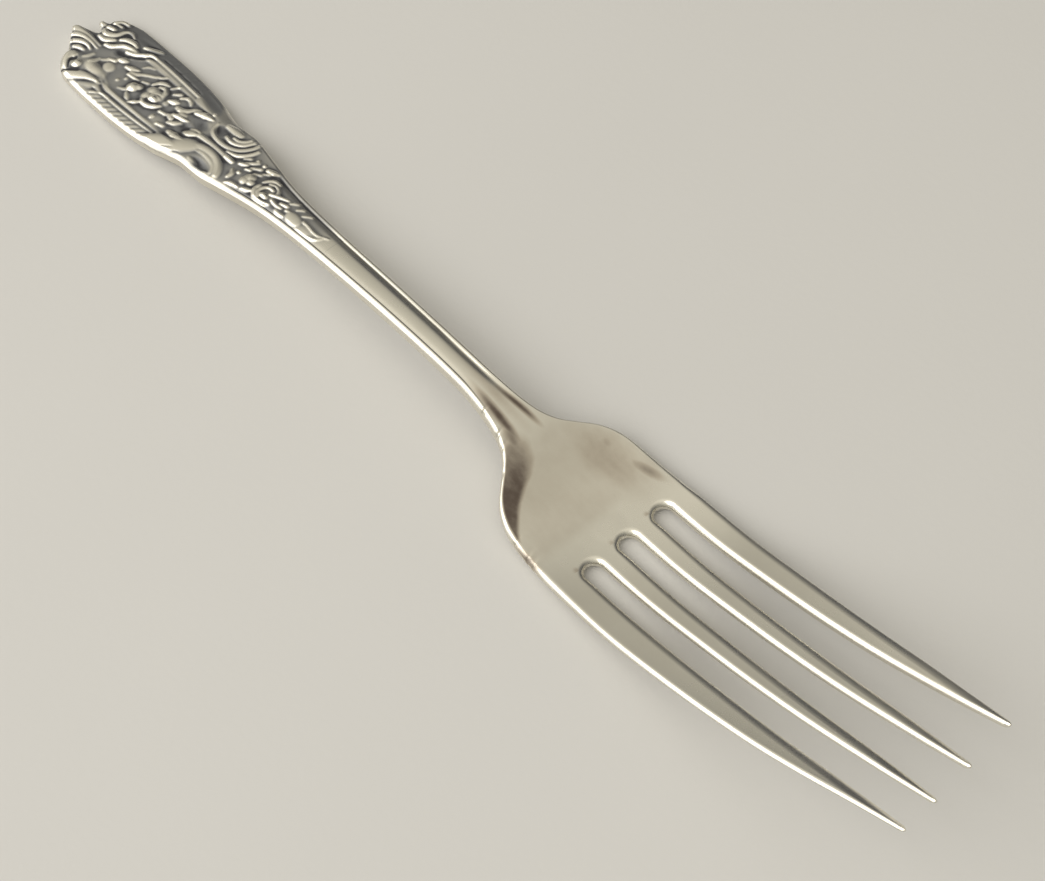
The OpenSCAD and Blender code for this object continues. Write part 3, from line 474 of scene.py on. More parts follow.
DROP_DOMES = [
    (1.0, 48.5, 2.5, 0.42, 0.42, 0),
    (1.0, 50.1, 2.55, 0.42, 0.42, 0),
    (0.95, 50.6, -0.7, 1.15, 0.95, 30),
    (0.85, 50.3, -1.7, 0.95, 0.85, 0),
    (0.85, 51.5, -1.3, 0.8, 0.7, 0),
    (1.2, 55.2, -1.6, 0.95, 0.55, 0),
    (0.6, 62.3, -1.2, 1.75, 1.1, -5, 0.45),
    (0.5, 60.5, 1.6, 0.4, 0.3, 0),
]

# Lines scored into the metal: depth as a share of the relief, then points of (x, y, half width)
SCORES = [
    # round the eye of the crest's volute, and between it and the broad wave
    (0.9, [(7.7, -6.9, 0.14), (6.9, -6.2, 0.22), (6.5, -5.5, 0.26), (6.9, -4.8, 0.2), (6.7, -4.4, 0.12)]),
    (0.7, [(7.3, -8.0, 0.14), (8.3, -7.1, 0.2), (9.6, -6.1, 0.14)]),
    # between the frame's fillets
    (0.35, [(11.8, 1.7, 0.2), (13.3, 2.5, 0.26), (14.8, 3.75, 0.26), (15.9, 4.7, 0.22), (20, 4.78, 0.2),
            (28.8, 4.45, 0.2)]),
    (0.5, [(14.2, -4.9, 0.26), (16.2, -5.6, 0.34), (18, -5.65, 0.34), (24, -5.45, 0.34), (30.6, -5.1, 0.3)]),
    # veins of the scroll's band, the rose and the blossom
    (0.35, [(33.4, -6.6, 0.08), (34.6, -5.8, 0.14), (35.6, -5.1, 0.08)]),
    (0.35, [(35.8, -6.0, 0.08), (36.6, -5.5, 0.14), (37.4, -5.0, 0.08)]),
    (0.45, [(50.0, -0.2, 0.08), (50.7, -1.0, 0.14), (51.0, -2.0, 0.08)]),
    (0.45, [(23.4, -0.1, 0.08), (24.4, 0.3, 0.14), (25.2, 0.1, 0.08)]),
]

# Slanted flutes in the near and far border: start and end along the fork, the two distances from the edge
# between which they lie, pitch, side, lean and depth; how much they bend, and how sharp their ridges are
NEAR_FLUTES = (13.5, 30.6, 0.35, 2.0, 1.5, -1, 0.9, 0.4)
FAR_FLUTES = (16.5, 29.0, 0.4, 2.3, 2.7, 1, -0.7, 0.3)
FLUTE_BEND, FLUTE_RIDGE = 0.12, 0.85
# The groove between the flutes and the frame: depth, and half width in millimetres
FILLET_DEPTH, FILLET_HALF = 0.4, 0.2
# The recessed ground of the panel: its two ends, its far and near side, and its depth
GROUND = (12.0, 36.5, 4.1, -4.75, 0.4)
# Its mitred end at the crest: where it starts on the middle line, and its slant
MITRE_X, MITRE_SLANT = 11.5, 0.55
# The border slopes down to the edge: where that starts and how far it runs, as shares of the half width,
# how far it falls, in millimetres, and the near side's share of it
BORDER_START, BORDER_RUN, BORDER_FALL, NEAR_BORDER = 0.58, 0.5, 0.85, 0.3
# Broad soft forms under the strokes: height, middle, half sizes and turn; dishes are below zero
SWELLS = [
    # under the volute, the fan and the cushion of the crest
    (0.4, 6.4, -5.6, 2.4, 2.6, 0), (0.6, 9.6, -4.2, 3.2, 2.2, 0), (0.4, 3.6, -1.2, 3.6, 2.4, -15),
    (0.5, 6.2, 3.2, 3.4, 2.6, 15), (0.4, 10.2, 3.2, 3.0, 2.0, 15), (0.8, 11.2, -3.8, 2.6, 1.4, 0),
    # under the bud, the rose and the last blossom
    (0.5, 19.5, -1.8, 2.0, 1.8, 0), (0.9, 23.8, -0.4, 3.0, 2.8, 0), (0.4, 27.6, 1.6, 2.4, 2.2, 0),
    (0.6, 30.6, 0.2, 2.2, 2.4, 0), (0.3, 28.6, -3.2, 2.6, 1.6, 0),
    # dishes beside the long leaves, beside the shell, on the far border and beside the crest's leaf
    (-0.6, 33.6, -1.0, 1.9, 1.2, 0), (-0.5, 34.8, 1.3, 2.3, 1.2, 0), (-0.6, 38.3, 2.9, 2.4, 1.4, 10),
    (-0.6, 32.0, 5.7, 3.8, 1.5, -12), (-0.6, 10.9, 1.6, 1.4, 1.0, 20), (-0.4, 12.6, 6.6, 3.2, 1.0, 5),
    # the near scroll's bowl, and the drop's own swelling
    (-1.1, 42.0, -4.65, 2.8, 1.5, -6), (0.4, 50.8, -1.2, 2.6, 2.2, 0), (0.7, 55.0, -1.0, 3.2, 2.6, 0),
    (0.4, 65.8, -1.3, 2.8, 1.3, 0),
]


def sink_die():
    """Cuts the whole ornament of the handle and gives back the die."""
    die = Die()
    gx, gy = die.x[:, None], die.y[None, :]
    edge = outline(gx) - np.abs(gy)
    start, end, far, near, depth = GROUND
    ground = soft((gx - start) / 2.5) * soft((end - gx) / 2.5)
    ground = ground * soft((far - gy) / 0.5) * soft((gy - near) / 0.5)
    mitre = soft((gx - MITRE_X - MITRE_SLANT * np.abs(gy)) / 0.8)
    die.base -= RELIEF * depth * ground * mitre
    for start, end, inner, outer, pitch, side, lean, depth in (NEAR_FLUTES, FAR_FLUTES):
        on = soft((gx - start) / 1.2) * soft((end - gx) / 0.8) * (side * gy > 0)
        band = soft((edge - inner) / 0.5) * soft((outer - edge) / 0.3)
        place = (gx - lean * edge - FLUTE_BEND * edge ** 2) / pitch
        wave = np.abs(np.cos(math.pi * place)) ** FLUTE_RIDGE
        die.base -= RELIEF * depth * (1 - wave) * band * on
        die.base -= RELIEF * FILLET_DEPTH * np.exp(-((edge - outer) / FILLET_HALF) ** 2) * on
    for height, path in CREST_STROKES + FRAME_STROKES + SHOULDER_STROKES:
        die.stroke(height, path)
    for height, path in PANEL_STROKES + DROP_STROKES:
        die.stroke(height, path, lobes=LEAF_LOBES)
    for boss in CREST_DOMES + PANEL_DOMES + SHOULDER_DOMES + DROP_DOMES:
        die.dome(*boss)
    for soft_form in SWELLS:
        die.swell(*soft_form)
    for depth, path in SCORES:
        die.stroke(depth, path, score=True)
    return die


def border(x, y):
    """How far the handle's border has fallen away towards the edge, less on the near side."""
    far = soft((drop_x - 3 - x) / (shoulder_l - 3))
    near = NEAR_BORDER * soft((shoulder_x + 7 - x) / 9)
    share = np.abs(y) / outline(x)
    return BORDER_FALL * soft((share - BORDER_START) / BORDER_RUN) * np.where(y > 0, far, near)


die = sink_die()
# How far creases are rounded on the struck ornament, on its broad forms and on its general level
STRUCK_SOFT, BROAD_SOFT, LEVEL_SOFT = 0.115, 0.55, 1.6
struck = die.softened(STRUCK_SOFT)
# Creases, and low ground that stays dark, from -1 to 1: a height below the broad forms or the level that
# counts as full; the whole far border is painted dark too, as painted shade
CREASE_DROP, GROUND_DROP, FAR_SHADE_Y = 0.12, 0.26, 5.2
crease_sheet = np.clip((die.softened(BROAD_SOFT) - struck) / CREASE_DROP, -1, 1)
# painted shade: a dark band along the handle's far border, over and above the ground's patina
far_border_shade = soft((die.y - FAR_SHADE_Y) / 0.5)[None, :] * soft((shoulder_x + 1 - die.x) / 4)[:, None]
ground_and_far_shade = np.clip((die.softened(LEVEL_SOFT) - struck) / GROUND_DROP + 0.9 * far_border_shade, -1, 1)

# Threads along the stem, near and far side: width, then the reach outward and inward and the depth of the
# groove inside each, and how much lower the thread itself lies; the stem's middle is crowned
NEAR_THREAD, FAR_THREAD = (0.76, 0.15, 0.45, 0.08, 0.0), (0.66, 0.35, 0.62, 0.34, 0.42)
crown_h, far_crown_share = 0.16, 0.5
# How much deeper the near groove is beside the flowers of the drop, and half widths of the grooves' dark,
# which is dirt, and on the far side also painted shade
DROP_GROOVE, NEAR_DARK, FAR_DIRT_AND_SHADE = 0.06, 0.16, 0.42
near_start, far_start, thread_end = drop_x + 1.0, drop_x + 4.6, neck_x + 0.95 * neck_l


def threads(x, y):
    """Height of the threads' grooves and the rounded middle, and how dark the groove is painted, from 0 to 1:
    dirt, and along the far groove also painted shade.
    """
    w = outline(x)
    edge = w - np.abs(y)
    far = y > 0
    width, outward, inward, depth, sunk = (np.where(far, b, a) for a, b in zip(NEAR_THREAD, FAR_THREAD))
    depth = np.where(far, depth, depth + DROP_GROOVE * soft((stem_x - x) / 12))
    on = soft((x - np.where(far, far_start, near_start)) / 3) * soft((thread_end - x) / 11)
    away = edge - width - outward
    groove = np.exp(-(away / np.where(away > 0, inward, outward)) ** 2)
    level = np.where(away < 0, mix(groove, 1, sunk), groove)
    inner = np.maximum(w - width - outward, 0.5)
    crown = 1 - np.where(far, far_crown_share, 1) * np.clip(np.abs(y) / inner, 0, 1) ** 2
    crown = crown_h * crown * soft((x - drop_x + 5) / 12) * soft((thread_end - x) / 14)
    # the far groove's dirt and painted shade fade out on the neck
    dirt_and_shade = on * np.exp(-(away / np.where(far, FAR_DIRT_AND_SHADE, NEAR_DARK)) ** 2)
    return crown - on * depth * level, dirt_and_shade * np.where(far, soft((thread_end - 3 - x) / 16), 1)


# Edges: how far they reach inward, and how far they fall, at places along the fork; the far edge as a share of
# the near one, crisper on the stem and broader towards the tips
EDGE_PLACES = [0, crest_l, shoulder_x, drop_x, stem_x, neck_x, root_x, root_x + root_l / 2,
               slot_x, slot_x + 3, slot_x + 8, tip_x]
EDGE_REACH = [0.6, 0.65, 0.8, 0.8, 0.72, 0.7, 0.6, 0.6, 0.85, 0.8, 0.72, 0.6]
EDGE_DEPTH = [0.4, 0.5, 0.58, 0.62, 0.62, 0.64, 0.66, 0.62, 0.74, 0.68, 0.62, 0.42]
FAR_REACH = [1, 1, 1, 0.65, 0.65, 0.65, 0.65, 0.6, 1, 1.1, 1.25, 2.4]
FAR_DEPTH = [1, 1, 1, 0.65, 0.65, 0.65, 0.65, 0.6, 1, 0.62, 0.65, 1.15]
# Their profile: share of the bevel, its bend on the handle and on the head, and how late the rest rounds off
BEVEL, BEVEL_BENDS, ROUND_OFF = 0.8, (1.3, 1.7), 6


def edge_share(x, y, shares):
    """1 on the near side and the far side's share where y is above zero."""
    return np.where(np.asarray(y) > 0, np.interp(x, EDGE_PLACES, shares), 1)


def edge_round(x, y=-1.0):
    """Reach of the near edge, or of the far edge where y is above zero."""
    return np.interp(x, EDGE_PLACES, EDGE_REACH) * edge_share(x, y, FAR_REACH)


def edge_depth(x, y=-1.0):
    """How far the near edge falls, or the far edge where y is above zero."""
    return np.interp(x, EDGE_PLACES, EDGE_DEPTH) * edge_share(x, y, FAR_DEPTH)


def fall(x, edge, length, down):
    """Depth lost at a distance inside an edge that is bevelled, then rounded off, over a length."""
    u = np.clip(1 - edge / length, 0, 1)
    bevel = u ** np.interp(x, [drop_x, root_x], BEVEL_BENDS)
    return down * (BEVEL * bevel + (1 - BEVEL) * (1 - np.sqrt(1 - u ** ROUND_OFF)))


# Distance between slots at their round ends and between tines at their tips, radius of the round ends,
# and half width of a slot along its length
pitch = tine_w + slot_w
tip_pitch = (2 * tip_half - tip_w) / 3
slot_r = slot_w / 2
slot_open = Line([(slot_r, slot_r)] + [
    (tine_l * s, mix(slot_r, (tip_pitch - tip_w) / 2, v))
    for s, v in [(0.28, 0.14), (0.46, 0.22), (0.64, 0.36), (0.82, 0.6), (0.93, 0.82), (1, 1)]], softness=0.8)


def slot_half(s):
    """Half width of a slot at the distance s from its round end."""
    s = np.asarray(s, float)
    round_end = np.sqrt(np.clip(slot_r ** 2 - (slot_r - s) ** 2, 0, None))
    return np.where(s < slot_r, round_end, np.maximum(slot_r, slot_open(s)))


def slot_middle(k, s):
    """Place across the fork of a slot's middle; the slots count from 1 on the near side."""
    return (k - 2) * mix(pitch, tip_pitch, np.clip(s, 0, None) / tine_l) + slot_shift * (1 - soft(s / tine_l))


def slot_edge(x, y):
    """Distance of a place on the head from the nearest slot."""
    s = x - slot_x
    gaps = []
    for k in (1, 2, 3):
        away = np.abs(y - slot_middle(k, s))
        round_end = np.hypot(slot_r - s, away) - slot_r
        gaps.append(np.where(s < slot_r, round_end, away - slot_half(np.maximum(s, slot_r))))
    return np.maximum(np.min(gaps, 0), 0)


def upper(x, y):
    """Height of the upper face before its edges are rounded, its crease, and its ground or tarnish; crease and
    ground also carry painted shade, along the stem's far groove and over the handle's far border.
    """
    strip, groove = threads(x, y)
    near = outline(x) + y
    # beyond the near scroll the ornament stops short of the near edge
    on = soft((stem_x + 1.5 - x) / 1.5) * mix(1, soft((near - 0.75) / 0.7), soft((x - shoulder_x - 5) / 4))
    height = low(x, y) + thick_line(x) + on * die.at(struck, x, y) + strip - border(x, y)
    # the stem's grooves darken the crease: dirt, and painted shade along the far groove
    crease = np.clip(on * die.at(crease_sheet, x, y) + 0.8 * groove ** 3, -1, 1)
    # along the near edge alone the patina gives way to clean silver, and the patina fades out into the stem
    rubbed = soft((near - 0.5) / 0.6)
    patina = mix(-0.5, mix(-0.4, die.at(ground_and_far_shade, x, y), rubbed), soft((stem_x - 0.5 - x) / 4))
    return height, crease, np.where(x < stem_x, patina, tarnish(x, y))


def spot(x, y, at, beside, rx, ry, turn=0.0):
    """A soft oval mark, 1 in its middle: at is its place along the fork, beside its place across it."""
    c, s = math.cos(math.radians(turn)), math.sin(math.radians(turn))
    u, v = ((x - at) * c + (y - beside) * s) / rx, ((y - beside) * c - (x - at) * s) / ry
    return np.exp(-(u * u + v * v))


# Far boundary of the near shoulder's tarnish: share of the root's length, place across the fork
TARNISH_LINE = [(-0.05, -1.6), (0.05, -1.0), (0.14, -1.0), (0.24, -2.0), (0.31, -3.8), (0.35, -5.6),
                (0.41, -7.6), (0.48, -9.2), (0.55, -10.6), (0.62, -11.6), (0.76, -12.2), (0.9, -12.6)]
# Single marks: strength, distance beyond the root's start, place across the fork, half sizes and turn
TARNISH_SPOTS = [
    # along the ends of the near and far threads
    (0.85, 1.2, -2.2, 2.8, 1.0, -14), (1.15, -2.4, -1.5, 5.2, 0.7, -3), (1.15, -2.4, 1.9, 3.8, 0.5, 8),
    # the neck's middle, beside the far cloud, and the near edge beyond the shoulder
    (0.36, -6.0, 0.5, 9.0, 1.1, 0), (0.46, 9.5, 8.6, 1.6, 1.0, 0),
    (0.85, 15.4, 0.2 - outline(root_x + 15.4), 2.6, 0.6, -2),
]


def tarnish(x, y):
    """Brown tarnish of neck and head, from 0 up: near shoulder, far side and beside the slots' ends."""
    near, far = outline(x) + y, outline(x) - y
    s = (x - root_x) / root_l
    # one mass that leaves the neck's groove, spreads over the near shoulder and ends along the edge
    inner_line = np.interp(s, *np.array(TARNISH_LINE).T)
    blur = np.interp(s, [0, 0.25, 0.45, 0.7], [4.6, 4.4, 1.5, 0.7])
    mass = soft((inner_line + 0.5 * blur - y) / blur) * soft((near - 0.45) / 0.45)
    mark = mass * soft((s + 0.03) / 0.16) * soft((0.84 - s) / 0.2) * np.interp(s, [0.1, 0.4], [0.78, 1.08])
    for strength, after, beside, rx, ry, turn in TARNISH_SPOTS:
        mark = np.maximum(mark, strength * spot(x, y, root_x + after, beside, rx, ry, turn))
    # a thin cloud over the far half of the head with its dark core
    mark = np.maximum(mark, 0.42 * spot(x, y, root_x + 11.5, 7.2, 8.5, 5.0, 12) * soft(far / 1.2))
    mark = np.maximum(mark, 0.7 * spot(x, y, root_x + 16.2, 10.2, 3.0, 0.9, 14) * soft(far / 1.0))
    # a dull film over the bowl, and a speck beside each slot's end
    mark = np.maximum(mark, 0.24 * soft(s / 0.2) * soft((0.9 - s) / 0.16) * soft(near / 0.9) * soft(far / 0.9))
    for k in (1, 2, 3):
        mark = np.maximum(mark, 0.42 * spot(x, y, slot_x - 0.2, slot_middle(k, 0) - 1.9, 0.6, 0.5))
    return mark


# Steps between the stations on the crest, the struck ornament, the stem, the neck and the root
CREST_STEP, ORNAMENT_STEP, STEM_STEP, NECK_STEP, ROOT_STEP = 0.13, 0.14, 0.5, 0.16, 0.22
# The crest's first stations as shares of its length, close together where its end rounds off, and the
# place on the outline from which its stations take their width
CREST_STARTS, CREST_FULL = [0, 0.0006, 0.002, 0.005, 0.01, 0.016, 0.023, 0.031], 8.4
# Points across a section: the whole bar has as many as the four tines together
TINE_TOP, TINE_UNDER, CORNER = 33, 9, 8
BAR_TOP, BAR_UNDER = 4 * (TINE_TOP - 1) + 1, 4 * (TINE_UNDER - 1) + 1


def across(a, b, ra, rb, count, corner):
    """Places from a to b, closer together over the rounded edges ra and rb."""
    turn = 1 - np.cos(np.linspace(0, math.pi / 2, corner + 1))
    middle = np.linspace(0, 1, count - 2 * corner)[None, 1:-1]
    a, b, ra, rb = (np.atleast_1d(v).astype(float)[:, None] for v in (a, b, ra, rb))
    return np.hstack([a + ra * turn, mix(a + ra, b - rb, middle), (b - rb * turn)[:, ::-1]])


# Small dents along the near edge of the neck and root: place along the fork and depth
DENTS = [(108.7, 0.6), (112.6, 0.65), (114.4, 0.5), (117.2, 0.35), (125.8, 0.4), (128.6, 0.5), (129.9, 0.4)]
# Their width, how far they reach inward, and their slant
DENT_WIDTH, DENT_REACH, DENT_SLANT = 0.3, 0.6, 0.25


def dent_depth(x, y):
    """Depth of the dents on the near half of the fork, as if they ran right across it."""
    slant = DENT_SLANT * (y + outline(x))
    return sum(depth * np.exp(-((x - at + slant) / DENT_WIDTH) ** 2) for at, depth in DENTS) * (y < 0)


def bar_rows():
    """Stations along the bar: close on the ornament, wide on the plain stem, close at the slots' ends."""
    rim = edge_round(slot_x) * (1 - np.cos(np.linspace(0, math.pi / 2, CORNER + 1)))
    fine = np.linspace(panel_x, stem_x, int((stem_x - panel_x) / ORNAMENT_STEP))
    plain = np.linspace(stem_x, neck_x, int(stem_l / STEM_STEP))
    neck = np.linspace(neck_x, root_x, int(neck_l / NECK_STEP))
    root = np.linspace(root_x, slot_x - rim[-1], int(root_l / ROOT_STEP))
    return np.concatenate([fine, plain[1:], neck[1:], root[1:], slot_x - rim[-2::-1]])


def bar_places():
    """Plan of the upper and lower points of the handle, stem and root, row by row from the crest."""
    plans = []
    rows = bar_rows()
    start = np.linspace(0, 1, int(crest_l / CREST_STEP), endpoint=False)
    start = np.concatenate([CREST_STARTS, start[start > 0.036]])
    along = np.concatenate([mix(CREST_FULL, panel_x, start), rows])
    w = outline(along)
    for count, corner in ((BAR_TOP, 5), (BAR_UNDER, 4)):
        y = across(-w, w, edge_round(along), edge_round(along, 1), count, corner)
        # over the root the points gather where the tines will start
        tines = TINE_TOP if count == BAR_TOP else TINE_UNDER
        share = np.concatenate([start * 0, soft((rows - root_x - 0.3 * root_l) / (0.6 * root_l))])[:, None]
        y = mix(y, root_row(tines) * w[:, None] / outline(slot_x), share)
        x = np.concatenate([start * 0, rows])[:, None] + y * 0
        ends = end_line(y[:len(start)] + handle_half)
        x[:len(start)] = mix(ends, panel_x, start[:, None])
        plans.append((x, y))
    return plans, len(start)


def root_row(count):
    """Places across the last row of the root, where the tines' first rows lie."""
    corner = CORNER if count == TINE_TOP else 3
    edges = [-outline(slot_x), *(slot_middle(k, 0) for k in (1, 2, 3)), outline(slot_x)]
    r = edge_round(slot_x)
    spans = [across(a, b, r, r, count, corner)[0] for a, b in zip(edges[:-1], edges[1:])]
    return np.concatenate([span[:-1] for span in spans[:-1]] + spans[-1:])


def end_distance(x, y):
    """Distance inward from the scrolled end of the crest."""
    place = y + handle_half
    lean = (end_line(place + 0.1) - end_line(place - 0.1)) / 0.2
    return np.maximum(x - end_line(place), 0) / np.sqrt(1 + lean ** 2)


# Ground of a surface that is rubbed clean
CLEAN = -0.8


def shape_bar(x, y, is_top):
    """Heights of the handle's, stem's or root's upper or lower points, with their crease and ground."""
    r = edge_round(x, y)
    side = np.maximum(outline(x) - np.abs(y), 0)
    side = np.where(x < panel_x, np.minimum(side, end_distance(x, y)), side)
    side = np.minimum(side, slot_edge(x, y))
    if is_top:
        z, crease, ground = upper(x, y)
        z = z - fall(x, side, r, edge_depth(x, y)) - dent_depth(x, y) * np.exp(-side / DENT_REACH)
        return z, crease, np.where(x < stem_x, mix(CLEAN, ground, soft(side / 0.22)), ground)
    # the walls and the underside are rubbed clean
    under_depth = np.interp(x, [drop_x, stem_x], [0.14, 0.4]) * thick_line(x)
    return low(x, y) + fall(x, side, 0.8 * r, under_depth), x * 0, x * 0 + CLEAN


# Share of a half circle that a tine's tip follows before it ends blunt, the largest share of a tine's width
# that one edge takes in the plan, and the share of the dish's slope that is filed off its upper face
TIP_SHARE, EDGE_LIMIT, TINE_LEVEL = 0.96, 0.47, 0.75


def tine_plan(k, count, corner):
    """Plan of one tine's upper or lower points from the slots' ends to its tip, its sides, edge and size."""
    turn = slot_r * (1 - np.cos(np.linspace(0, math.pi / 2, 11)))
    body = np.linspace(slot_r, tine_l - tip_w, int(tine_l / 0.55))
    point = tine_l - tip_w * (1 - np.sin(np.linspace(0, math.pi / 2, 8)[1:]))
    s = np.concatenate([turn, body[1:], point])
    x = slot_x + s
    w = outline(x)
    a = -w if k == 1 else slot_middle(k - 1, s) + slot_half(s)
    b = w if k == 4 else slot_middle(k, s) - slot_half(s)
    tip = (s - tine_l + tip_w) / tip_w * TIP_SHARE
    size = np.where(s > tine_l - tip_w, np.sqrt(np.clip(1 - tip ** 2, 0, 1)), 1)
    m, h = (a + b) / 2, (b - a) / 2 * size
    near_r, far_r = (np.minimum(edge_round(x, side), EDGE_LIMIT * (b - a)) * size for side in (-1, 1))
    y = across(m - h, m + h, near_r, far_r, count, corner)
    return x[:, None] + y * 0, y, (m - h)[:, None], (m + h)[:, None], near_r[:, None], size[:, None]


def shape_tine(k):
    """Upper and lower points of one tine."""
    sheets = []
    for is_top, count, corner in ((True, TINE_TOP, CORNER), (False, TINE_UNDER, 3)):
        x, y, a, b, r, size = tine_plan(k, count, corner)
        t, flat = thick_line(x), low(x, y)
        # beside the slots' round ends the distance from the slot counts
        ends = np.where(x < slot_x + slot_r, slot_edge(x, y), slot_w)
        near, far = np.minimum(y - a, ends), np.minimum(b - y, ends)
        if is_top:
            falls = []
            for side, facing in ((near, -1), (far, 1)):
                length = np.clip(edge_round(x, facing), 1e-4, 0.85 * (b - a) + 1e-4)
                falls.append(fall(x, side, length, edge_depth(x, facing) * size))
            # the upper faces are filed level across, where the dish would turn each tine inward
            turn = (low(x, b) - low(x, a)) / (b - a) * TINE_LEVEL * soft((x - slot_x) / 16)
            z = flat + t * (1 + size) / 2 - np.maximum(*falls) - turn * (y - (a + b) / 2)
        else:
            rise = fall(x, np.minimum(near, far), np.maximum(0.7 * r, 1e-4), 0.34 * t * size)
            z = flat + t * (1 - size) / 2 + rise
        sheets.append(np.stack([x, y, z], -1))
    return sheets


class Skin:
    """Every point of the fork once, and its faces with the zone that each belongs to."""

    def __init__(self):
        self.points, self.crease, self.ground, self.faces, self.zones = [], [], [], [], []
        self.count = 0

    def add(self, points, crease=None, ground=None):
        """Adds a sheet of points with their creases and ground, and gives back their numbers."""
        shape = points.shape[:-1]
        n = int(np.prod(shape))
        self.points.append(points.reshape(-1, 3))
        self.crease.append(np.zeros(n) if crease is None else np.asarray(crease).reshape(-1))
        self.ground.append(np.zeros(n) if ground is None else np.asarray(ground).reshape(-1))
        self.count += n
        return np.arange(self.count - n, self.count).reshape(shape)

    def quads(self, a, b, c, d, zone):
        """Adds faces with the corners a, b, c and d to a zone."""
        self.faces.append(np.stack([a.ravel(), b.ravel(), c.ravel(), d.ravel()], -1))
        self.zones.append(np.full(a.size, zone))

    def walls(self, top, under, zone):
        """Closes a stretch between upper and lower points with its four sides."""
        self.quads(top[:-1, :-1], top[1:, :-1], top[1:, 1:], top[:-1, 1:], zone)
        self.quads(under[:-1, :-1], under[:-1, 1:], under[1:, 1:], under[1:, :-1], zone)
        self.quads(under[:-1, 0], under[1:, 0], top[1:, 0], top[:-1, 0], zone)
        self.quads(under[:-1, -1], top[:-1, -1], top[1:, -1], under[1:, -1], zone)

    def end(self, top, under, zone, forward):
        """Joins the last upper row to the lower one; each lower step meets an equal share of upper ones."""
        fan = (len(top) - 1) // (len(under) - 1)
        for j in range(len(under) - 1):
            for i in range(fan * j, fan * (j + 1)):
                self.triangle(top[i], top[i + 1], under[j], zone, forward)
            self.triangle(top[fan * (j + 1)], under[j + 1], under[j], zone, forward)

    def triangle(self, a, b, c, zone, forward):
        """Adds a face whose last corner counts twice; forward keeps the order of its corners."""
        self.faces.append(np.array([(a, b, c, c) if forward else (a, c, b, b)]))
        self.zones.append(np.array([zone]))


ZONES = ["handle_crest", "flower_panel", "scroll_shoulder", "leaf_drop", "stem", "neck", "root"]
TINES = ["tine_1", "tine_2", "tine_3", "tine_4"]
# The zones whose hollows are blackened
ORNAMENTED = ZONES[:4]
# A zone's joint faces are numbered this much higher than its outer ones
CAP = 100


def shape_fork():
    """The whole fork as one smooth skin, cut into closed zones."""
    skin = Skin()
    plans, first = bar_places()
    sheets = []
    for (x, y), is_top in zip(plans, (True, False)):
        z, crease, ground = shape_bar(x, y, is_top)
        sheets.append(skin.add(np.stack([x, y, z], -1), crease, ground))
    top, under = sheets
    rows_x = np.concatenate([np.full(first, -1.0), bar_rows()])
    starts = [panel_x, shoulder_x, drop_x, stem_x, neck_x, root_x, slot_x]
    cuts = [0] + [int(np.argmin(np.abs(rows_x - start))) for start in starts]
    for zone, (i, j) in enumerate(zip(cuts[:-1], cuts[1:])):
        skin.walls(top[i:j + 1], under[i:j + 1], zone)
        skin.end(top[i], under[i], zone + (0 if i == 0 else CAP), False)
        skin.end(top[j], under[j], zone + CAP, True)
    for k in (1, 2, 3, 4):
        zone = len(ZONES) + k - 1
        ids = []
        for sheet, row, count in zip(shape_tine(k), (top[-1], under[-1]), (TINE_TOP, TINE_UNDER)):
            shared = row[(k - 1) * (count - 1):k * (count - 1) + 1]
            ids.append(np.vstack([shared[None], skin.add(sheet[1:])]))
        skin.walls(ids[0], ids[1], zone)
        skin.end(ids[0][0], ids[1][0], zone + CAP, False)
        skin.end(ids[0][-1], ids[1][-1], zone, True)
    marks = np.stack([np.concatenate(skin.crease), np.concatenate(skin.ground)])
    return np.vstack(skin.points), marks, np.vstack(skin.faces), np.concatenate(skin.zones)


def unit(v):
    """Vectors of length 1 in the same directions."""
    return v / np.maximum(np.linalg.norm(v, axis=-1, keepdims=True), 1e-12)


def corner_normals(points, faces, zones):
    """Smooth normals from the whole skin's outer faces, so that no joint between zones shows."""
    a, b, c, d = (points[faces[:, i]] for i in range(4))
    flat = np.cross(c - a, d - b)
    triangle = faces[:, 2] == faces[:, 3]
    flat[triangle] = np.cross(b[triangle] - a[triangle], c[triangle] - a[triangle])
    outer = zones < CAP
    total = np.zeros_like(points)
    for i in range(4):
        np.add.at(total, faces[outer, i], flat[outer])
    return unit(total), unit(flat)


def add_object(name, data):
    """A new object in the scene."""
    made = bpy.data.objects.new(name, data)
    bpy.context.scene.collection.objects.link(made)
    return made


def build_piece(name, points, marks, faces, inner, smooth, flat):
    """One closed zone as a mesh with the skin's own normals; its joint faces stay flat."""
    used, renumbered = np.unique(faces, return_inverse=True)
    renumbered = renumbered.reshape(faces.shape)
    polygons = [tuple(f[:3]) if f[2] == f[3] else tuple(f) for f in renumbered.tolist()]
    metres = points[used] * MM + np.array([cad_low.x, 0, 0])
    mesh = bpy.data.meshes.new(name)
    mesh.from_pydata(metres.tolist(), [], polygons)
    for mark, values in zip(("crease", "ground"), marks[:, used].astype(np.float32)):
        mesh.attributes.new(mark, "FLOAT", "POINT").data.foreach_set("value", values)
    mesh.polygons.foreach_set("use_smooth", ~inner)
    normals = []
    for face, is_inner, own in zip(faces.tolist(), inner.tolist(), flat.tolist()):
        corners = face[:3] if face[2] == face[3] else face
        normals.extend([own] * len(corners) if is_inner else [smooth[c] for c in corners])
    mesh.normals_split_custom_set(normals)
    return add_object(name, mesh)


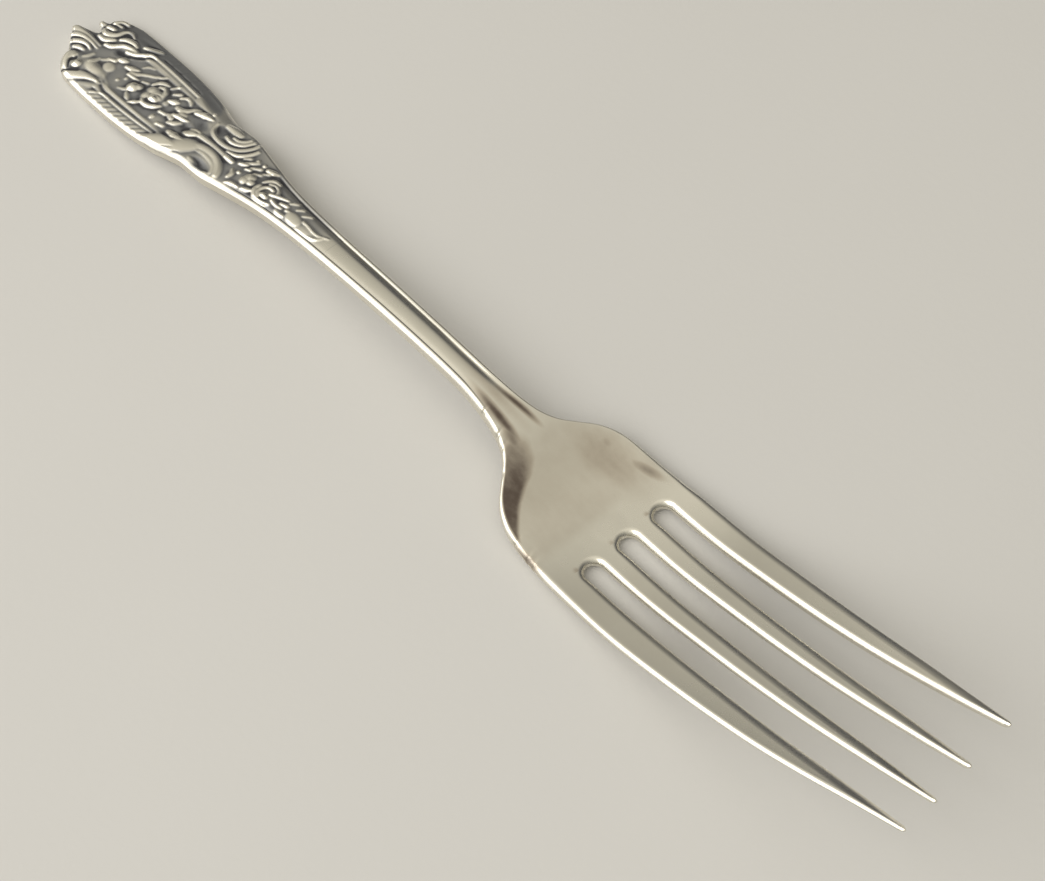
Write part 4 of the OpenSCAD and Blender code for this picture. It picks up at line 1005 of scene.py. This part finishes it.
class Wire:
    """A socket in a material's nodes; sums of wires and numbers add the Math nodes that work them out."""

    def __init__(self, finish, socket):
        self.finish, self.socket = finish, socket

    def math(self, operation, *values, clamp=False):
        """The wire out of a new Math node."""
        settings = {"operation": operation, "use_clamp": clamp}
        return self.finish.node("ShaderNodeMath", settings, dict(enumerate(values)))[0]

    def __add__(self, other):
        return self.math("ADD", self, other)

    def __radd__(self, other):
        return self.math("ADD", other, self)

    def __sub__(self, other):
        return self.math("SUBTRACT", self, other)

    def __rsub__(self, other):
        return self.math("SUBTRACT", other, self)

    def __mul__(self, other):
        return self.math("MULTIPLY", self, other)

    def __rmul__(self, other):
        return self.math("MULTIPLY", other, self)

    def clipped(self):
        """The value, held between 0 and 1."""
        return self.math("ADD", self, 0.0, clamp=True)

    def between(self, start, end):
        """From 0 at start to 1 at end, with soft ends."""
        settings = {"interpolation_type": "SMOOTHSTEP", "clamp": True}
        values = {"Value": self, "From Min": start, "From Max": end}
        return self.finish.node("ShaderNodeMapRange", settings, values)[0]


class Finish:
    """A material, or the world, and its nodes."""

    def __init__(self, owner):
        owner.use_nodes = True
        self.tree = owner.node_tree
        self.tree.nodes.clear()

    def node(self, kind, settings=(), values=()):
        """Adds a node, sets it up and fills its sockets with numbers, colours or wires; gives its outputs."""
        made = self.tree.nodes.new(kind)
        for key, value in dict(settings).items():
            if key == "stops":
                ramp = made.color_ramp
                while len(ramp.elements) < len(value):
                    ramp.elements.new(0.5)
                for stop, (place, colour) in zip(ramp.elements, value):
                    stop.position, stop.color = place, (*colour, 1)
            else:
                setattr(made, key, value)
        for key, value in dict(values).items():
            if isinstance(value, Wire):
                self.tree.links.new(value.socket, made.inputs[key])
            else:
                socket = made.inputs[key]
                socket.default_value = (*value, 1) if socket.type == "RGBA" else value
        return Outputs(self, made)

    def noise(self, place, scale, detail=4.0, roughness=0.55, stretch=(1, 1, 1), turn=0.0):
        """Cloudy noise from 0 to 1; scale is in waves to the metre."""
        if stretch != (1, 1, 1) or turn:
            values = {"Vector": place, "Scale": stretch, "Rotation": (0, 0, turn)}
            place = self.node("ShaderNodeMapping", {}, values)[0]
        return self.node("ShaderNodeTexNoise", {"noise_dimensions": "3D"}, {
            "Vector": place, "Scale": scale, "Detail": detail, "Roughness": roughness})["Fac"]

    def colours(self, share, a, b):
        """A colour between two, by a wire from 0 to 1."""
        return self.node("ShaderNodeMix", {"data_type": "RGBA"}, {0: share, 6: a, 7: b})[2]

    def surface(self, distance, height, values):
        """Ends a material in a principled shader with a fine bump and these values."""
        bump = {"Strength": 0.1, "Distance": distance, "Height": height}
        values["Normal"] = self.node("ShaderNodeBump", {}, bump)["Normal"]
        shader = self.node("ShaderNodeBsdfPrincipled", {}, values)["BSDF"]
        self.node("ShaderNodeOutputMaterial", {}, {"Surface": shader})


class Outputs:
    """A node's outputs, by number or by name, as wires."""

    def __init__(self, finish, made):
        self.finish, self.made = finish, made

    def __getitem__(self, key):
        return Wire(self.finish, self.made.outputs[key])


# Silver bright and satin, the grey and black of blackened hollows (the grey also painted shade on the far
# border), haze and crust of tarnish, the dirt and painted shade of the stem's grooves, and the two shades of
# the paper
BRIGHT, SATIN = (0.86, 0.83, 0.745), (0.77, 0.737, 0.65)
GREY_OXIDE, BLACK_OXIDE = (0.165, 0.178, 0.21), (0.035, 0.035, 0.042)
HAZE, CRUST, GROOVE_DIRT_AND_SHADE = (0.5, 0.42, 0.33), (0.105, 0.075, 0.06), (0.075, 0.07, 0.065)
PAPER, PALE_PAPER = (0.65, 0.64, 0.625), (0.69, 0.68, 0.665)


def silver(name, oxide):
    """Worn silver: scratches, satin wear and patina everywhere; with oxide also blackened hollows and painted
    shade on the far border, without it tarnish and the grooves' dirt and painted shade.
    """
    material = bpy.data.materials.new(name)
    finish = Finish(material)
    place = finish.node("ShaderNodeTexCoord")["Object"]
    crease = finish.node("ShaderNodeAttribute", {"attribute_name": "crease"})["Fac"]
    ground = finish.node("ShaderNodeAttribute", {"attribute_name": "ground"})["Fac"]
    cloud = finish.noise(place, 60, 5)
    mottle = finish.noise(place, 260, 5, 0.65)
    grain = finish.noise(place, 900, 4, 0.6)
    speck = finish.noise(place, 2600, 2)
    colour = finish.colours(cloud.between(0.35, 0.7), BRIGHT, SATIN)
    roughness = 0.22 + 0.09 * cloud.between(0.3, 0.7) + 0.05 * grain
    # fine rubbing marks, most of them along the fork
    rubbed = 0.45 * (
        finish.noise(place, 900, 3, 0.6, (0.08, 1, 1), 0.12)
        + 0.7 * finish.noise(place, 700, 3, 0.6, (0.06, 1, 1), -0.35)
        + 0.5 * finish.noise(place, 1100, 3, 0.6, (1, 0.07, 1), 0.5))
    if oxide:
        # the grey of patinated ground, and painted shade where the ground mark covers the far border
        dull = (ground + 0.35 * crease + (mottle - 0.5) * 0.3).between(-0.55, 0.6)
        deep = (crease + (grain - 0.5) * 0.4).between(0.15, 0.85)
        colour = finish.colours(dull * 0.8, colour, GREY_OXIDE)
        colour = finish.colours(deep * 0.92, colour, BLACK_OXIDE)
        roughness = roughness + 0.24 * dull + 0.12 * deep
        metal = 1 - 0.3 * deep
    else:
        streaks = finish.noise(place, 420, 4, 0.6, (0.22, 1, 1), 0.9)
        brown = ground * (0.35 + 0.75 * mottle + 0.55 * streaks)
        # the stem's grooves: dirt, and along the far groove painted shade
        groove = (crease + (mottle - 0.5) * 0.2).between(0.2, 0.9)
        haze, crust = brown.between(0.04, 0.5), brown.between(0.28, 1.2)
        colour = finish.colours(haze * 0.62, colour, HAZE)
        colour = finish.colours(crust * 0.93, colour, CRUST)
        colour = finish.colours(groove * 0.8, colour, GROOVE_DIRT_AND_SHADE)
        roughness = roughness + 0.06 * haze + 0.12 * crust + 0.12 * groove
        metal = 1 - 0.25 * crust
    finish.surface(0.00003, rubbed + 0.05 * speck + 0.5 * cloud, {
        "Base Color": colour, "Roughness": roughness.clipped(), "Metallic": metal})
    return material


def floor_finish():
    """Matt pale paper."""
    material = bpy.data.materials.new("pale_paper")
    finish = Finish(material)
    place = finish.node("ShaderNodeTexCoord")["Object"]
    colour = finish.colours(finish.noise(place, 9, 4), PAPER, PALE_PAPER)
    finish.surface(0.0002, finish.noise(place, 900, 3), {
        "Base Color": colour, "Roughness": 0.8, "Specular IOR Level": 0.2})
    return material


def lay_floor():
    """A wide pale floor that the fork rests on."""
    half, under = 4.0, 0.00002
    mesh = bpy.data.meshes.new("floor")
    corners = [(-half, -half, -under), (half, -half, -under), (half, half, -under), (-half, half, -under)]
    mesh.from_pydata(corners, [], [(0, 1, 2, 3)])
    mesh.materials.append(floor_finish())
    add_object("floor", mesh)


def hang_lamp(name, place, aim, size, power, colour):
    """A large soft panel that faces the fork: place and aim in metres, size of its two sides."""
    light = bpy.data.lights.new(name, "AREA")
    light.shape, light.size, light.size_y = "RECTANGLE", *size
    light.energy, light.color = power, colour
    lamp = add_object(name, light)
    lamp.location = place
    lamp.rotation_euler = (Vector(aim) - Vector(place)).to_track_quat("-Z", "Y").to_euler()


def light_room():
    """Soft studio: a window on the near side, a dimmer one beside it, a room that darkens at the far side."""
    hang_lamp("window", (0.0, -0.82, 0.88), (0.0, 0.0, 0.0), (1.0, 0.9), 5.8, (1.0, 0.985, 0.95))
    hang_lamp("side_window", (-0.8, -0.78, 0.5), (-0.05, 0.0, 0.0), (0.95, 1.1), 5.2, (1.0, 0.99, 0.97))
    world = bpy.data.worlds.new("room")
    bpy.context.scene.world = world
    finish = Finish(world)
    axes = finish.node("ShaderNodeSeparateXYZ", {}, {0: finish.node("ShaderNodeTexCoord")["Generated"]})
    # brighter upwards and to the near side, with a pale wall beyond the handle's end
    level = axes["Z"] * 0.95 - axes["Y"] * 0.3 + 0.12 + (0 - axes["X"]).between(0.66, 0.82) * 0.35
    stops = [(0.0, (0.05, 0.052, 0.06)), (0.28, (0.13, 0.13, 0.13)), (0.62, (0.4, 0.385, 0.335)),
             (1.0, (0.78, 0.745, 0.65))]
    walls = finish.node("ShaderNodeValToRGB", {"stops": stops}, {0: level})["Color"]
    light = finish.node("ShaderNodeBackground", {}, {"Color": walls, "Strength": 1.0})[0]
    finish.node("ShaderNodeOutputWorld", {}, {"Surface": light})


def set_camera():
    """The photograph's view, in metres in the fork's own frame."""
    place, aim, lens, roll = (0.108736, -0.086694, 0.198883), (0.019948, -0.000934, 0.005), 55.571, 2.085
    data = bpy.data.cameras.new("camera")
    data.lens, data.sensor_width, data.clip_start = lens, 36.0, 0.01
    camera = add_object("camera", data)
    forward = (Vector(aim) - Vector(place)).normalized()
    right = forward.cross(Vector((0, 0, 1))).normalized()
    above = right.cross(forward)
    c, s = math.cos(math.radians(roll)), math.sin(math.radians(roll))
    right, above = right * c + above * s, above * c - right * s
    turn = Matrix((right, above, -forward)).transposed().to_4x4()
    camera.matrix_world = Matrix.Translation(place) @ turn
    bpy.context.scene.camera = camera
    bpy.context.scene.view_settings.view_transform = "Standard"


def make_fork():
    """Builds each zone's piece in place of its solid."""
    points, marks, faces, zones = shape_fork()
    smooth, flat = corner_normals(points, faces, zones)
    smooth = smooth.tolist()
    finishes = {
        "oxidised_silver": silver("oxidised_silver", True),
        "worn_silver": silver("worn_silver", False),
    }
    for number, node in enumerate(ZONES + TINES):
        own = zones % CAP == number
        piece = build_piece(f"{node}_silver", points, marks, faces[own], zones[own] >= CAP, smooth, flat[own])
        slot = "oxidised_silver" if node in ORNAMENTED else "worn_silver"
        piece.data.materials.append(finishes[slot])
        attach(piece, "root")
        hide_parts(node)


set_camera()
light_room()
lay_floor()
make_fork()
